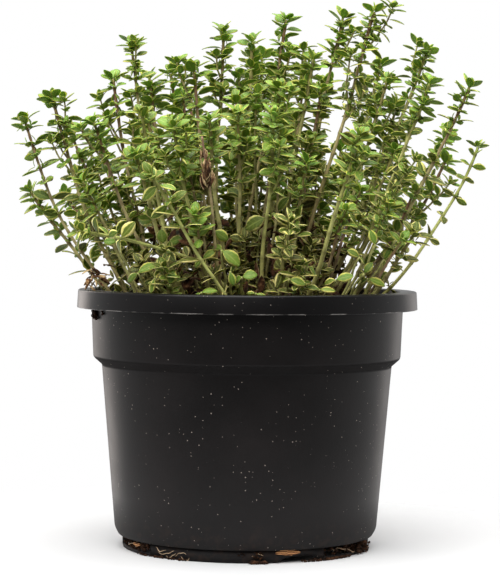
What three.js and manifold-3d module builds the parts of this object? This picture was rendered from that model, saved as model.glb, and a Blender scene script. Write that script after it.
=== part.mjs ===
// Potted thyme: a black plastic nursery pot filled with peat, and the leafy shoots that fan out of it.
// Lengths are millimetres and +Z is up. The origin is on the pot's axis, on the surface it stands on;
// the front, which faces -Y, is the side with fewer drain slots.
import * as THREE from 'three';
import { mergeVertices } from 'three/addons/utils/BufferGeometryUtils.js';
import Module from 'manifold-3d';

// Pot: outside radii and heights, and the wall that is moulded to them.
const RIM_RADIUS = 65;
const POT_HEIGHT = 97.9;
const RIM_DROP = 6.9;
const RIM_WALL = 1.2;
const COLLAR_RADIUS = 59.7;
const COLLAR_FOOT_RADIUS = 58.7;
const SHOULDER_TOP = 72.3;
const SHOULDER_FOOT = 69.4;
const BODY_RADIUS = 55.4;
const BODY_FOOT_RADIUS = 50.1;
const BODY_FOOT_HEIGHT = 4.8;
const BODY_FOOT_ROUNDING = [1.5, 2.6];
const FOOT_RADIUS = 47;
const FOOT_DRAFT = 0.2;
const FOOT_WALL = 1.5;
const WALL = 1.2;
const SHOULDER_WALL = 0.6;
const EDGE = 0.8;
const FLOOR_LIFT = 3;
const POT_SIDES = 36;

// Drain slots at the foot, and the arches in the foot ring between them. Angles run from the front.
const DRAIN_COUNT = 3;
const DRAIN_ANGLE = 55;
const DRAIN_SPAN = 34;
const DRAIN_LOW = 1.2;
const DRAIN_HIGH = 4.6;
const DRAIN_DEPTH = 6;
const ARCH_ANGLE = 25;
const ARCH_HALF_WIDTH = 8;
const ARCH_HEIGHT = 2.4;

// Peat: its level at the wall and in the middle, and its clearance to the pot.
const PEAT_LEVEL = 88;
const PEAT_CROWN = 91;
const PEAT_GAP = 0.35;
const PEAT_LUMP = 0.7;
const PEAT_CELLS = 8;

// Shoots: square stems, rooted at one depth, with leaves in crossed pairs counted down from the tip.
const ROOT_LEVEL = 80;
const ROOT_DEPTH = 12.5;
const FAN_LEVEL = 60;
const FAN_POWER = 0.6;
const BOW = 0.1;
const BOW_SAG = 0.6;
const STEM_FOOT_RADIUS = 1.15;
const STEM_TIP_RADIUS = 0.55;
const STEM_CORNERS = [45, 135, 225, 315];
const SOCKET_GAP = 0.42;
const SOCKET_REACH = 1.5;
const GOLDEN_ANGLE = 137.508;

// Leaves: the pairs that are made, and a grown leaf's size.
const LEAF_PAIRS = [0, 1, 4, 8, 13];
const LEAF_LENGTH = 7.4;
const LEAF_WIDTH = 4;
const LEAF_ARCH = 0.7;
const LEAF_THICKNESS = 0.6;
const LEAF_CLEARANCE = 0.35;
const BLADE_START = 0.4;
// A leaf from its root to its tip: shares of its length, width and arch. The young leaves at the tip of a
// shoot are plain diamonds.
const LEAF_STATIONS = [[0.36, 0.95, 0.9], [0.72, 0.85, 0.9], [1, 0, 0]];
const YOUNG_STATIONS = [[0.48, 1, 1], [1, 0, 0]];
const YOUNG_PAIRS = 3;
// How far a leaf is turned about its stem, in degrees, when it would meet a neighbour.
const LEAF_TURNS = [0, 22, -22, 44, -44];

// Each shoot's tip as [across, depth, height]. A fourth entry gives its root as [across, depth] and a
// fifth how far it bows; other shoots are rooted on the common fan.
const SHOOTS = {
  left: [
    [-86, 5, 162, [-38, 5], 0.2],
    [-74, -12, 170, [-36, -8], 0.16],
    [-70, 28, 158],
    [-85, 18, 135, [-37, 10], 0.08],
    [-57, -30, 160],
    [-52, 0, 178, [-31, -1], 0.1],
    [-46, 15, 193, [-27, 9], 0.12],
    [-40, 42, 181, [-21, 19], 0.1],
  ],
  top: [
    [-31, 27, 182],
    [-21, -5, 182],
    [-10, 5, 197, [-14, 3], 0],
    [1, 30, 195, [-4, 13], 0.05],
    [14, 0, 201, [-8, -1], 0.02],
    [5, 46, 190],
    [24, -15, 185, [5, -7], 0.05],
    [36, 12, 203, [5, 5], 0.05],
    [46, -25, 202, [11, -12], 0.02],
    [-4, 8, 180],
    [-26, 20, 172],
    [22, 26, 188],
  ],
  right: [
    [52, 35, 187],
    [53, 5, 179],
    [68.5, 10, 190, [22, 3], 0.05],
    [66, -35, 175],
    [84, 0, 176],
    [87, -6, 153, [31, -6], 0.2],
    [78, 30, 149],
    [60, 52, 172],
    [80, 46, 160],
  ],
  front: [
    [-39, -38, 163, [-21, -20], 0.1],
    [-27, -45, 158],
    [-14, -53, 160],
    [-4, -43, 163],
    [-40, -58, 147],
    [-34, -66, 140, [2, -43], 0],
    [-60, -63, 120, [-3, -31], -0.55],
    [9, -55, 162],
    [39, -60, 155],
    [61, -34, 120],
    [11, -30, 173],
    [15, -60, 124],
  ],
  back: [
    [-62, 50, 158],
    [-44, 59, 154],
    [-24, 56, 174],
    [-8, 64, 158],
    [14, 60, 170],
    [31, 46, 180],
    [38, 63, 154],
    [64, 60, 143],
    [-27, 64, 128],
    [-74, 48, 134, [-29, 19], 0.04],
  ],
  low: [
    [19, -52, 108, [16, -42], 0],
    [-30, -53, 107, [-26, -43], 0],
    [-34, 46, 112, [-28, 38], 0],
    [34, 47, 110, [28, 40], 0],
  ],
};

const wasm = await Module();
wasm.setup();

const plastic = new THREE.MeshStandardMaterial({ color: 0x262526, roughness: 0.55, metalness: 0 });
const peat = new THREE.MeshStandardMaterial({ color: 0x2b1d13, roughness: 1, metalness: 0 });
const herb = new THREE.MeshStandardMaterial({ color: 0x5c7f2e, roughness: 0.6, metalness: 0 });

// A closed geometry as a solid. Poles and seams are merged, and triangles that merging empties are left out.
function solidOf(geometry) {
  const bare = new THREE.BufferGeometry();
  bare.setAttribute('position', geometry.getAttribute('position'));
  bare.setIndex(geometry.getIndex());
  const merged = mergeVertices(bare, 1e-4);
  const corners = merged.index.array;
  const kept = [];
  for (let i = 0; i < corners.length; i += 3) {
    const [a, b, c] = corners.slice(i, i + 3);
    if (a !== b && b !== c && c !== a) kept.push(a, b, c);
  }
  return new wasm.Manifold(new wasm.Mesh({
    numProp: 3,
    vertProperties: merged.getAttribute('position').array,
    triVerts: new Uint32Array(kept),
  }));
}

// A solid as a named mesh of the scene graph.
function meshOf(solid, name, material) {
  const { vertProperties, triVerts } = solid.getMesh();
  const geometry = new THREE.BufferGeometry();
  geometry.setAttribute('position', new THREE.BufferAttribute(vertProperties, 3));
  geometry.setIndex(new THREE.BufferAttribute(triVerts, 1));
  geometry.computeVertexNormals();
  const mesh = new THREE.Mesh(geometry, material);
  mesh.name = name;
  return mesh;
}

// A profile of [radius, height] pairs turned about the Z axis.
function turned(profile) {
  const points = profile.map(([radius, height]) => new THREE.Vector2(radius, height));
  return new THREE.LatheGeometry(points, POT_SIDES).rotateX(Math.PI / 2);
}

// A block of ring between two radii and two heights, centred on an angle from the front.
function ringBlock(inner, outer, low, high, angle, span) {
  const middle = THREE.MathUtils.degToRad(angle - 90);
  const half = THREE.MathUtils.degToRad(span / 2);
  const shape = new THREE.Shape();
  shape.absarc(0, 0, outer, middle - half, middle + half, false);
  shape.absarc(0, 0, inner, middle + half, middle - half, true);
  const block = new THREE.ExtrudeGeometry(shape, { depth: high - low, bevelEnabled: false, curveSegments: 4 });
  return block.translate(0, 0, low);
}

// A low round-topped tunnel through the foot ring, running outwards at an angle from the front.
function footArch(angle) {
  const arch = new THREE.CylinderGeometry(1, 1, 4 * FOOT_WALL, 16);
  arch.scale(ARCH_HALF_WIDTH, 1, ARCH_HEIGHT);
  arch.translate(0, -FOOT_RADIUS, 0);
  return arch.rotateZ(THREE.MathUtils.degToRad(angle));
}

// The inside of the pot as a profile from its floor up to its mouth, drawn in by a gap.
function insideProfile(gap) {
  const inset = WALL + gap;
  const [, rounding] = BODY_FOOT_ROUNDING;
  return [
    [0, FLOOR_LIFT + inset],
    [FOOT_RADIUS - 0.5 * inset, FLOOR_LIFT + inset],
    [BODY_FOOT_RADIUS - inset, BODY_FOOT_HEIGHT + rounding + gap],
    [BODY_RADIUS - inset, SHOULDER_FOOT + SHOULDER_WALL + gap],
    [COLLAR_FOOT_RADIUS - inset, SHOULDER_TOP + SHOULDER_WALL + gap],
    [COLLAR_RADIUS - inset, POT_HEIGHT - EDGE],
  ];
}

// The pot: one moulding, with a rolled rim, a collar, a shoulder, a tapering body and a foot ring.
function makePot() {
  const rimBottom = POT_HEIGHT - RIM_DROP;
  const [inwards, upwards] = BODY_FOOT_ROUNDING;
  const profile = [
    [0, FLOOR_LIFT],
    [FOOT_RADIUS - FOOT_WALL, FLOOR_LIFT],
    [FOOT_RADIUS - FOOT_WALL, 0],
    [FOOT_RADIUS - FOOT_DRAFT, 0],
    [FOOT_RADIUS + FOOT_DRAFT, BODY_FOOT_HEIGHT],
    [BODY_FOOT_RADIUS - inwards, BODY_FOOT_HEIGHT],
    [BODY_FOOT_RADIUS, BODY_FOOT_HEIGHT + upwards],
    [BODY_RADIUS, SHOULDER_FOOT],
    [COLLAR_FOOT_RADIUS, SHOULDER_TOP],
    [COLLAR_RADIUS, POT_HEIGHT - RIM_WALL],
    [RIM_RADIUS - RIM_WALL - EDGE, POT_HEIGHT - RIM_WALL],
    [RIM_RADIUS - RIM_WALL, rimBottom],
    [RIM_RADIUS, rimBottom],
    [RIM_RADIUS - 0.5 * EDGE, POT_HEIGHT - EDGE],
    [RIM_RADIUS - 1.5 * EDGE, POT_HEIGHT],
    [COLLAR_RADIUS - 0.5 * EDGE, POT_HEIGHT],
    ...insideProfile(0).toReversed(),
  ];
  let pot = solidOf(turned(profile));
  for (let i = 0; i < DRAIN_COUNT; i++) {
    const turn = (360 / DRAIN_COUNT) * i;
    const slot = ringBlock(
      FOOT_RADIUS - DRAIN_DEPTH, FOOT_RADIUS + WALL, DRAIN_LOW, DRAIN_HIGH, DRAIN_ANGLE + turn, DRAIN_SPAN);
    pot = pot.subtract(solidOf(slot));
    pot = pot.subtract(solidOf(footArch(ARCH_ANGLE + turn)));
  }
  return pot;
}

// Height of the peat's surface: a low mound with lumps that die away at the wall.
function peatHeight(x, y) {
  const share = Math.min(1, Math.hypot(x, y) / COLLAR_FOOT_RADIUS);
  const lumps = Math.sin(0.21 * x + 1.3) * Math.cos(0.17 * y) + 0.6 * Math.sin(0.33 * x - 0.27 * y);
  return PEAT_CROWN - (PEAT_CROWN - PEAT_LEVEL) * share * share + PEAT_LUMP * lumps * (1 - share);
}

// A block as wide as the pot, whose top is the peat's lumpy surface.
function peatBlock() {
  const size = 2 * RIM_RADIUS;
  const block = new THREE.BoxGeometry(size, size, POT_HEIGHT, PEAT_CELLS, PEAT_CELLS, 1);
  const places = block.getAttribute('position');
  for (let i = 0; i < places.count; i++) {
    if (places.getZ(i) > 0) places.setZ(i, peatHeight(places.getX(i), places.getY(i)));
  }
  return solidOf(block);
}

// The root ball: it has the pot's inside shape, and a socket for the foot of every shoot.
function makePeat(shoots) {
  let ball = solidOf(turned([...insideProfile(PEAT_GAP), [0, POT_HEIGHT]])).intersect(peatBlock());
  for (const shoot of shoots) ball = ball.subtract(socket(shoot));
  return ball;
}

// The line of a shoot: a quadratic curve from its root to its tip, which leaves the crown low and then rises.
function lineOf([across, depth, height, root, bow = BOW]) {
  const fan = ((ROOT_LEVEL - FAN_LEVEL) / (height - FAN_LEVEL)) ** FAN_POWER;
  const [rootAcross, rootDepth] = root ?? [across * fan, depth * fan];
  const foot = new THREE.Vector3(rootAcross, rootDepth, ROOT_LEVEL);
  const tip = new THREE.Vector3(across, depth, height);
  const reach = tip.clone().sub(foot);
  const lean = new THREE.Vector3(reach.x, reach.y, -BOW_SAG * reach.z).multiplyScalar(bow);
  const middle = foot.clone().add(tip).multiplyScalar(0.5).add(lean);
  return new THREE.QuadraticBezierCurve3(foot, middle, tip);
}

// The axes of a shoot at a distance below its tip: its centre, two directions across it, and its own.
function axesAt({ line }, drop) {
  const share = THREE.MathUtils.clamp(1 - drop / line.getLength(), 0, 1);
  const centre = line.getPointAt(share);
  const along = line.getTangentAt(share);
  const first = new THREE.Vector3(1, 0, 0).addScaledVector(along, -along.x).normalize();
  const second = along.clone().cross(first);
  return { centre, first, second, along, share };
}

// The direction square to a shoot at an angle about it, in degrees.
function acrossAt({ first, second }, angle) {
  const turn = THREE.MathUtils.degToRad(angle);
  return first.clone().multiplyScalar(Math.cos(turn)).addScaledVector(second, Math.sin(turn));
}

// The corners of a stem's square section at a distance below the tip. Leaves grow from its flats.
function stemRing(shoot, drop, clearance = 0) {
  const axes = axesAt(shoot, drop);
  const radius = THREE.MathUtils.lerp(STEM_FOOT_RADIUS, STEM_TIP_RADIUS, axes.share) + clearance;
  return STEM_CORNERS.map((corner) => axes.centre.clone().addScaledVector(
    acrossAt(axes, shoot.phase + corner), radius));
}

// Joins two rings of four corners with faces, except on the sides that are left open.
function joinRings(faces, low, high, open = []) {
  for (let side = 0; side < 4; side++) {
    const next = (side + 1) % 4;
    if (open.includes(side)) continue;
    faces.push(low[side], low[next], high[next], low[side], high[next], high[side]);
  }
}

// Joins a run of rings, one after another.
function joinRun(faces, rings) {
  for (let i = 1; i < rings.length; i++) joinRings(faces, rings[i - 1], rings[i]);
}

// Faces, given as corner after corner, as a solid.
function solidOfFaces(faces) {
  return solidOf(new THREE.BufferGeometry().setFromPoints(faces));
}

// A ring that has shrunk to a point, which closes a run.
const pointRing = (point) => [point, point, point, point];

// The middle of a ring of four corners.
const middleOf = (ring) => ring[0].clone().lerp(ring[2], 0.5);

// The hole for a shoot's pointed foot: the same pyramid, wider all round and longer at both ends.
function socket(shoot) {
  const length = shoot.line.getLength();
  const foot = shoot.line.getPointAt(0);
  const ring = stemRing(shoot, length - ROOT_DEPTH, SOCKET_GAP);
  const sink = SOCKET_GAP / STEM_FOOT_RADIUS;
  const middle = shoot.line.getPointAt(ROOT_DEPTH / length);
  const bottom = foot.clone().lerp(middle, -sink);
  const mouth = ring.map((corner) => bottom.clone().lerp(corner, SOCKET_REACH));
  const faces = [];
  joinRun(faces, [pointRing(bottom), mouth, pointRing(bottom.clone().lerp(middle, SOCKET_REACH))]);
  return solidOfFaces(faces);
}

// Distance of a pair of leaves below the tip: pairs are close at the tip and ever wider apart below it.
const pairDrop = (pair) => 1.2 + 1.5 * pair + 0.26 * pair * pair;

// Growth of a leaf of a pair as a share of its full size: leaves are young and small near the tip.
const leafGrowth = (pair) => Math.min(1, 0.68 + 0.1 * pair);

// How steeply a leaf of a pair rises from its stem, in degrees: upright at the tip, level lower down.
const leafRise = (pair) => 10 + 34 / (1 + 0.3 * pair);

// The two rings of a stem between which a pair of leaves grows.
function nodeRings(shoot, pair) {
  const half = 0.5 * LEAF_THICKNESS / Math.cos(THREE.MathUtils.degToRad(leafRise(pair)));
  return [stemRing(shoot, pairDrop(pair) + half), stemRing(shoot, pairDrop(pair) - half)];
}

// The rings of a leaf beyond its root, which grows from one side of the stem and may be turned about it.
function leafRings(shoot, { pair, side, turn }, margin = 0) {
  const axes = axesAt(shoot, pairDrop(pair));
  const rise = THREE.MathUtils.degToRad(leafRise(pair));
  const outward = acrossAt(axes, shoot.phase + 90 + 90 * side + turn);
  const midrib = outward.clone().multiplyScalar(Math.cos(rise)).addScaledVector(axes.along, Math.sin(rise));
  const upper = axes.along.clone().multiplyScalar(Math.cos(rise)).addScaledVector(outward, -Math.sin(rise));
  const right = upper.clone().cross(midrib);
  const growth = leafGrowth(pair);
  const stations = pair < YOUNG_PAIRS ? YOUNG_STATIONS : LEAF_STATIONS;
  return stations.map(([along, wide, arch]) => {
    const centre = axes.centre.clone().addScaledVector(midrib, along * (growth * LEAF_LENGTH + margin));
    centre.addScaledVector(upper, arch * growth * LEAF_ARCH);
    const across = right.clone().multiplyScalar(0.5 * wide * growth * LEAF_WIDTH + margin);
    const up = upper.clone().multiplyScalar(0.5 * LEAF_THICKNESS + margin);
    return [
      centre.clone().sub(across).sub(up),
      centre.clone().add(across).sub(up),
      centre.clone().add(across).add(up),
      centre.clone().sub(across).add(up),
    ];
  });
}

// A leaf's blade by itself, as a solid that starts near the stem.
function bladeSolid(shoot, leaf, margin = 0) {
  const rings = leafRings(shoot, leaf, margin);
  const root = axesAt(shoot, pairDrop(leaf.pair)).centre.lerp(middleOf(rings[0]), BLADE_START);
  const faces = [];
  joinRun(faces, [pointRing(root), ...rings, pointRing(middleOf(rings.at(-1)))]);
  return solidOfFaces(faces);
}

// A whole shoot: its stem from its pointed foot to its bud, with every leaf pulled out of a side of the stem.
function shootSolid(shoot, leaves) {
  const faces = [];
  let last = pointRing(shoot.line.getPointAt(0));
  const ground = stemRing(shoot, shoot.line.getLength() - ROOT_DEPTH);
  joinRings(faces, last, ground);
  last = ground;
  for (const pair of shoot.pairs.toReversed()) {
    const [low, high] = nodeRings(shoot, pair);
    const here = leaves.filter((leaf) => leaf.pair === pair);
    joinRings(faces, last, low);
    joinRings(faces, low, high, here.map((leaf) => leaf.side));
    for (const leaf of here) {
      const next = (leaf.side + 1) % 4;
      joinRun(faces, [[low[leaf.side], low[next], high[next], high[leaf.side]], ...leafRings(shoot, leaf)]);
    }
    last = high;
  }
  joinRings(faces, last, pointRing(shoot.line.getPointAt(1)));
  return solidOfFaces(faces);
}

// Whether two solids' boxes meet and the solids themselves share space.
function meets(a, b) {
  const p = a.boundingBox();
  const q = b.boundingBox();
  const apart = [0, 1, 2].some((axis) => p.max[axis] < q.min[axis] || q.max[axis] < p.min[axis]);
  return !apart && a.intersect(b).volume() > 0;
}

// Grows one leaf: it is turned about the stem until it is clear of everything else, or left out.
function growLeaf(shoot, pair, side, others) {
  for (const turn of LEAF_TURNS) {
    const leaf = { pair, side, turn };
    const room = bladeSolid(shoot, leaf, LEAF_CLEARANCE);
    const body = bladeSolid(shoot, leaf);
    if (others.some((other) => meets(room, other)) || shoot.blades.some((own) => meets(body, own))) continue;
    shoot.leaves.push(leaf);
    shoot.blades.push(body);
    return;
  }
}

const shoots = Object.entries(SHOOTS).flatMap(([group, rows]) => rows.map((row, i) => (
  { name: `shoot_${group}_${i + 1}`, line: lineOf(row), leaves: [], blades: [] })));
shoots.forEach((shoot, i) => {
  const leafy = shoot.line.getLength() - ROOT_DEPTH - LEAF_LENGTH;
  shoot.phase = i * GOLDEN_ANGLE;
  shoot.pairs = LEAF_PAIRS.filter((pair) => pairDrop(pair) < leafy);
  shoot.stem = shootSolid(shoot, []);
});
const pot = makePot();
const rootBall = makePeat(shoots);
for (const pair of LEAF_PAIRS) {
  for (const shoot of shoots.filter(({ pairs }) => pairs.includes(pair))) {
    const others = shoots.filter((other) => other !== shoot).flatMap(({ stem, blades }) => [stem, ...blades]);
    growLeaf(shoot, pair, pair % 2, [pot, rootBall, ...others]);
    growLeaf(shoot, pair, pair % 2 + 2, [pot, rootBall, ...others]);
  }
}

const plant = new THREE.Group();
plant.add(meshOf(pot, 'pot', plastic), meshOf(rootBall, 'peat', peat));
for (const shoot of shoots) plant.add(meshOf(shootSolid(shoot, shoot.leaves), shoot.name, herb));

export default plant;
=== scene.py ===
import bpy
import numpy as np
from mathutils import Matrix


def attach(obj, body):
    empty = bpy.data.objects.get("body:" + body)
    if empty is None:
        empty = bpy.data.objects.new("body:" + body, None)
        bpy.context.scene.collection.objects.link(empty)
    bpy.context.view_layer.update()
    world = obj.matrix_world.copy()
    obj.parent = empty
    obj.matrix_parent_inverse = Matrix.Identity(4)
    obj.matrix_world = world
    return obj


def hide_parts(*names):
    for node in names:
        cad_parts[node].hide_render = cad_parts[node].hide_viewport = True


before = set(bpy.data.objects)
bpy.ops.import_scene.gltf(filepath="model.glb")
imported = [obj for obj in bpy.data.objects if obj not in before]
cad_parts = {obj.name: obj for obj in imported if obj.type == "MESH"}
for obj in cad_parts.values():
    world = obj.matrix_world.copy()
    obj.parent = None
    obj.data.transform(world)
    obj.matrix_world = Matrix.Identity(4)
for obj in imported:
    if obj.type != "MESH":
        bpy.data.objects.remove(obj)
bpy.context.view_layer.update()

MM = 0.001

# ---- Black nursery pot -----------------------------------------------------------------------------
# A moulded polypropylene pot, 13 cm across its rolled rim. It is all one piece: the rim's skirt hangs
# outside the collar, a shoulder lets the pots stack, and the foot ring has drain slots and low arches.

RIM_RADIUS, POT_HEIGHT, RIM_DROP, RIM_WALL = 65.0, 97.9, 6.9, 1.2
COLLAR_RADIUS, COLLAR_FOOT_RADIUS = 59.7, 58.7
SHOULDER_TOP, SHOULDER_FOOT, SHOULDER_WALL = 72.3, 69.4, 0.6
BODY_RADIUS, BODY_FOOT_RADIUS = 55.4, 50.1
BODY_FOOT_HEIGHT, BODY_FOOT_IN, BODY_FOOT_UP = 4.8, 1.5, 2.6
FOOT_RADIUS, FOOT_DRAFT, FOOT_WALL = 47.0, 0.2, 1.5
WALL, EDGE, FLOOR_LIFT = 1.2, 0.8, 3.0
DRAINS = (-65.0, 55.0, 175.0)
DRAIN_SPAN, DRAIN_LOW, DRAIN_DEPTH = 34.0, 1.2, 6.0
ARCHES = (-95.0, 25.0, 145.0)
ARCH_HALF_WIDTH, ARCH_HEIGHT = 8.0, 2.4


def paint(code):
    """An sRGB hex colour as linear red, green, blue and alpha, by the sRGB curve."""
    value = np.array([int(code[i:i + 2], 16) for i in (1, 3, 5)]) / 255
    linear = np.where(value <= 0.04045, value / 12.92, ((value + 0.055) / 1.055) ** 2.4)
    return (*linear.tolist(), 1.0)


def add_node(tree, kind, inputs=(), **settings):
    """One node: settings are its own properties, and inputs holds values and links by socket."""
    made = tree.nodes.new(kind)
    for name, value in settings.items():
        setattr(made, name, value)
    for name, value in dict(inputs).items():
        if isinstance(value, bpy.types.NodeSocket):
            tree.links.new(value, made.inputs[name])
        else:
            made.inputs[name].default_value = value
    return made


def add_ramp(tree, factor, stops, interpolation="LINEAR"):
    """A colour ramp over a factor. Stops are pairs of a place from 0 to 1 and a hex colour."""
    ramp = add_node(tree, "ShaderNodeValToRGB", {"Fac": factor})
    ramp.color_ramp.interpolation = interpolation
    while len(ramp.color_ramp.elements) < len(stops):
        ramp.color_ramp.elements.new(0.5)
    for element, (place, code) in zip(ramp.color_ramp.elements, stops):
        element.position = place
        element.color = paint(code)
    return ramp.outputs["Color"]


def add_finish(name, **inputs):
    """A new material with one shader. Returns it, its node tree and the shader."""
    made = bpy.data.materials.new(name)
    made.use_nodes = True
    tree = made.node_tree
    tree.nodes.clear()
    shader = add_node(tree, "ShaderNodeBsdfPrincipled", inputs)
    add_node(tree, "ShaderNodeOutputMaterial", {"Surface": shader.outputs["BSDF"]})
    return made, tree, shader


def add_piece(name, points, faces, material, slot, stands_for=()):
    """A mesh from points in millimetres and groups of faces, riding on the plant. Returns its object."""
    mesh = bpy.data.meshes.new(name)
    polygons = [face for group in faces for face in group.tolist()]
    mesh.from_pydata((points * MM).tolist(), [], polygons)
    mesh.polygons.foreach_set("use_smooth", np.ones(len(polygons), bool))
    mesh.materials.append(material)
    made = bpy.data.objects.new(name, mesh)
    bpy.context.scene.collection.objects.link(made)
    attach(made, "root")
    if stands_for:
        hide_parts(*stands_for)
    return made


def quadratic(start, middle, end, t):
    """Points of a quadratic curve at shares t of the way: the start times (1 - t) squared, plus the middle
    times 2 t (1 - t), plus the end times t squared."""
    return (1 - t) ** 2 * start + 2 * t * (1 - t) * middle + t ** 2 * end


def rounded(corners, steps=5):
    """A closed outline of corners (radius, height, easing): each corner becomes a quadratic curve that starts
    and ends its easing away from it, or at 45% of the shorter side next to it."""
    corners, easing = np.split(np.array(corners, float), [2], 1)
    back = np.roll(corners, 1, 0) - corners
    ahead = np.roll(corners, -1, 0) - corners
    room = 0.45 * np.minimum(np.linalg.norm(back, axis=1), np.linalg.norm(ahead, axis=1))[:, None]
    reach = np.minimum(easing, room)
    start = corners + reach * back / np.linalg.norm(back, axis=1)[:, None]
    end = corners + reach * ahead / np.linalg.norm(ahead, axis=1)[:, None]
    t = np.linspace(0, 1, steps)[None, :, None]
    return quadratic(start[:, None], corners[:, None], end[:, None], t).reshape(-1, 2)


def ring_faces(rings, sides):
    """Quads between closed rings of points that lie one after another, and closed back to the first."""
    row, column = np.meshgrid(np.arange(rings), np.arange(sides), indexing="ij")
    low = row * sides + column
    low_next = row * sides + (column + 1) % sides
    high = (row + 1) % rings * sides + column
    high_next = (row + 1) % rings * sides + (column + 1) % sides
    return np.stack([low, low_next, high_next, high], -1).reshape(-1, 4)


def capped_faces(rings, sides):
    """Quads between rings of points, and triangles that close both ends. The two end points come after all
    the rings: first the one that the first ring closes on, then the last ring's."""
    walls = ring_faces(rings, sides)[:(rings - 1) * sides]
    side = np.arange(sides)
    ahead = (side + 1) % sides
    first, last = rings * sides, (rings - 1) * sides
    return walls, np.concatenate([
        np.stack([np.full(sides, first), ahead, side], -1),
        np.stack([np.full(sides, first + 1), last + side, last + ahead], -1)])


def ring_place(degrees, radius, height):
    """Points at angles from the front, radii and heights round the pot's axis: x is the radius times the
    sine of the angle, and y is minus the radius times its cosine."""
    turn = np.radians(degrees)
    return np.stack(np.broadcast_arrays(radius * np.sin(turn), -radius * np.cos(turn), height), -1)


def swept(sections, angles):
    """A closed section of (radius, height) points for each angle from the front, carried round the axis."""
    points = ring_place(angles[:, None], sections[..., 0], sections[..., 1])
    return points.reshape(-1, 3), ring_faces(len(angles), sections.shape[1])


def pot_wall():
    """The wall's closed section: up the outside, over the rim, and down the inside."""
    rim_bottom = POT_HEIGHT - RIM_DROP
    return rounded([
        (BODY_FOOT_RADIUS - BODY_FOOT_IN, BODY_FOOT_HEIGHT, 0.5),
        (BODY_FOOT_RADIUS, BODY_FOOT_HEIGHT + BODY_FOOT_UP, 2.0),
        (BODY_RADIUS, SHOULDER_FOOT, 0.35),
        (COLLAR_FOOT_RADIUS, SHOULDER_TOP, 0.9),
        (COLLAR_RADIUS, POT_HEIGHT - RIM_WALL, 0.5),
        (RIM_RADIUS - RIM_WALL - EDGE, POT_HEIGHT - RIM_WALL, 0.5),
        (RIM_RADIUS - RIM_WALL, rim_bottom, 0.2),
        (RIM_RADIUS, rim_bottom, 0.25),
        (RIM_RADIUS - 0.5 * EDGE, POT_HEIGHT, 0.8),
        (COLLAR_RADIUS - WALL, POT_HEIGHT, 0.5),
        (COLLAR_FOOT_RADIUS - WALL, SHOULDER_TOP + SHOULDER_WALL, 1.0),
        (BODY_RADIUS - WALL, SHOULDER_FOOT + SHOULDER_WALL, 1.0),
        (BODY_FOOT_RADIUS - WALL, BODY_FOOT_HEIGHT + BODY_FOOT_UP, 1.0),
        (FOOT_RADIUS, BODY_FOOT_HEIGHT, 0.3),
    ])


def off_nearest(angles, places):
    """How many degrees each angle lies off the nearest of some places round the pot."""
    return np.min([np.abs((angles - place + 180) % 360 - 180) for place in places], 0)


def foot_sections(angles):
    """The foot ring's section at each angle. It is an angle of wall and floor, whose lower edge rises along
    half an ellipse at the arches, and which shrinks to a low lip at the drain slots."""
    inner, outer = FOOT_RADIUS - FOOT_WALL, FOOT_RADIUS - FOOT_DRAFT
    flange = FOOT_RADIUS - DRAIN_DEPTH
    across = np.radians(off_nearest(angles, ARCHES)) * FOOT_RADIUS / ARCH_HALF_WIDTH
    base = ARCH_HEIGHT * np.sqrt(np.maximum(0, 1 - across ** 2))
    corners = ((flange, FLOOR_LIFT), (inner, FLOOR_LIFT), (inner, base), (outer, base),
               (FOOT_RADIUS + FOOT_DRAFT, BODY_FOOT_HEIGHT), (flange, FLOOR_LIFT + WALL))
    full = np.stack([np.stack(np.broadcast_arrays(*corner, angles)[:2], -1) for corner in corners], 1)
    lip = np.minimum(full, [np.inf, DRAIN_LOW])
    lip[:, [0, 5], 0] = inner
    gap = off_nearest(angles, DRAINS) < DRAIN_SPAN / 2
    return np.where(gap[:, None, None], lip, full)


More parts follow.
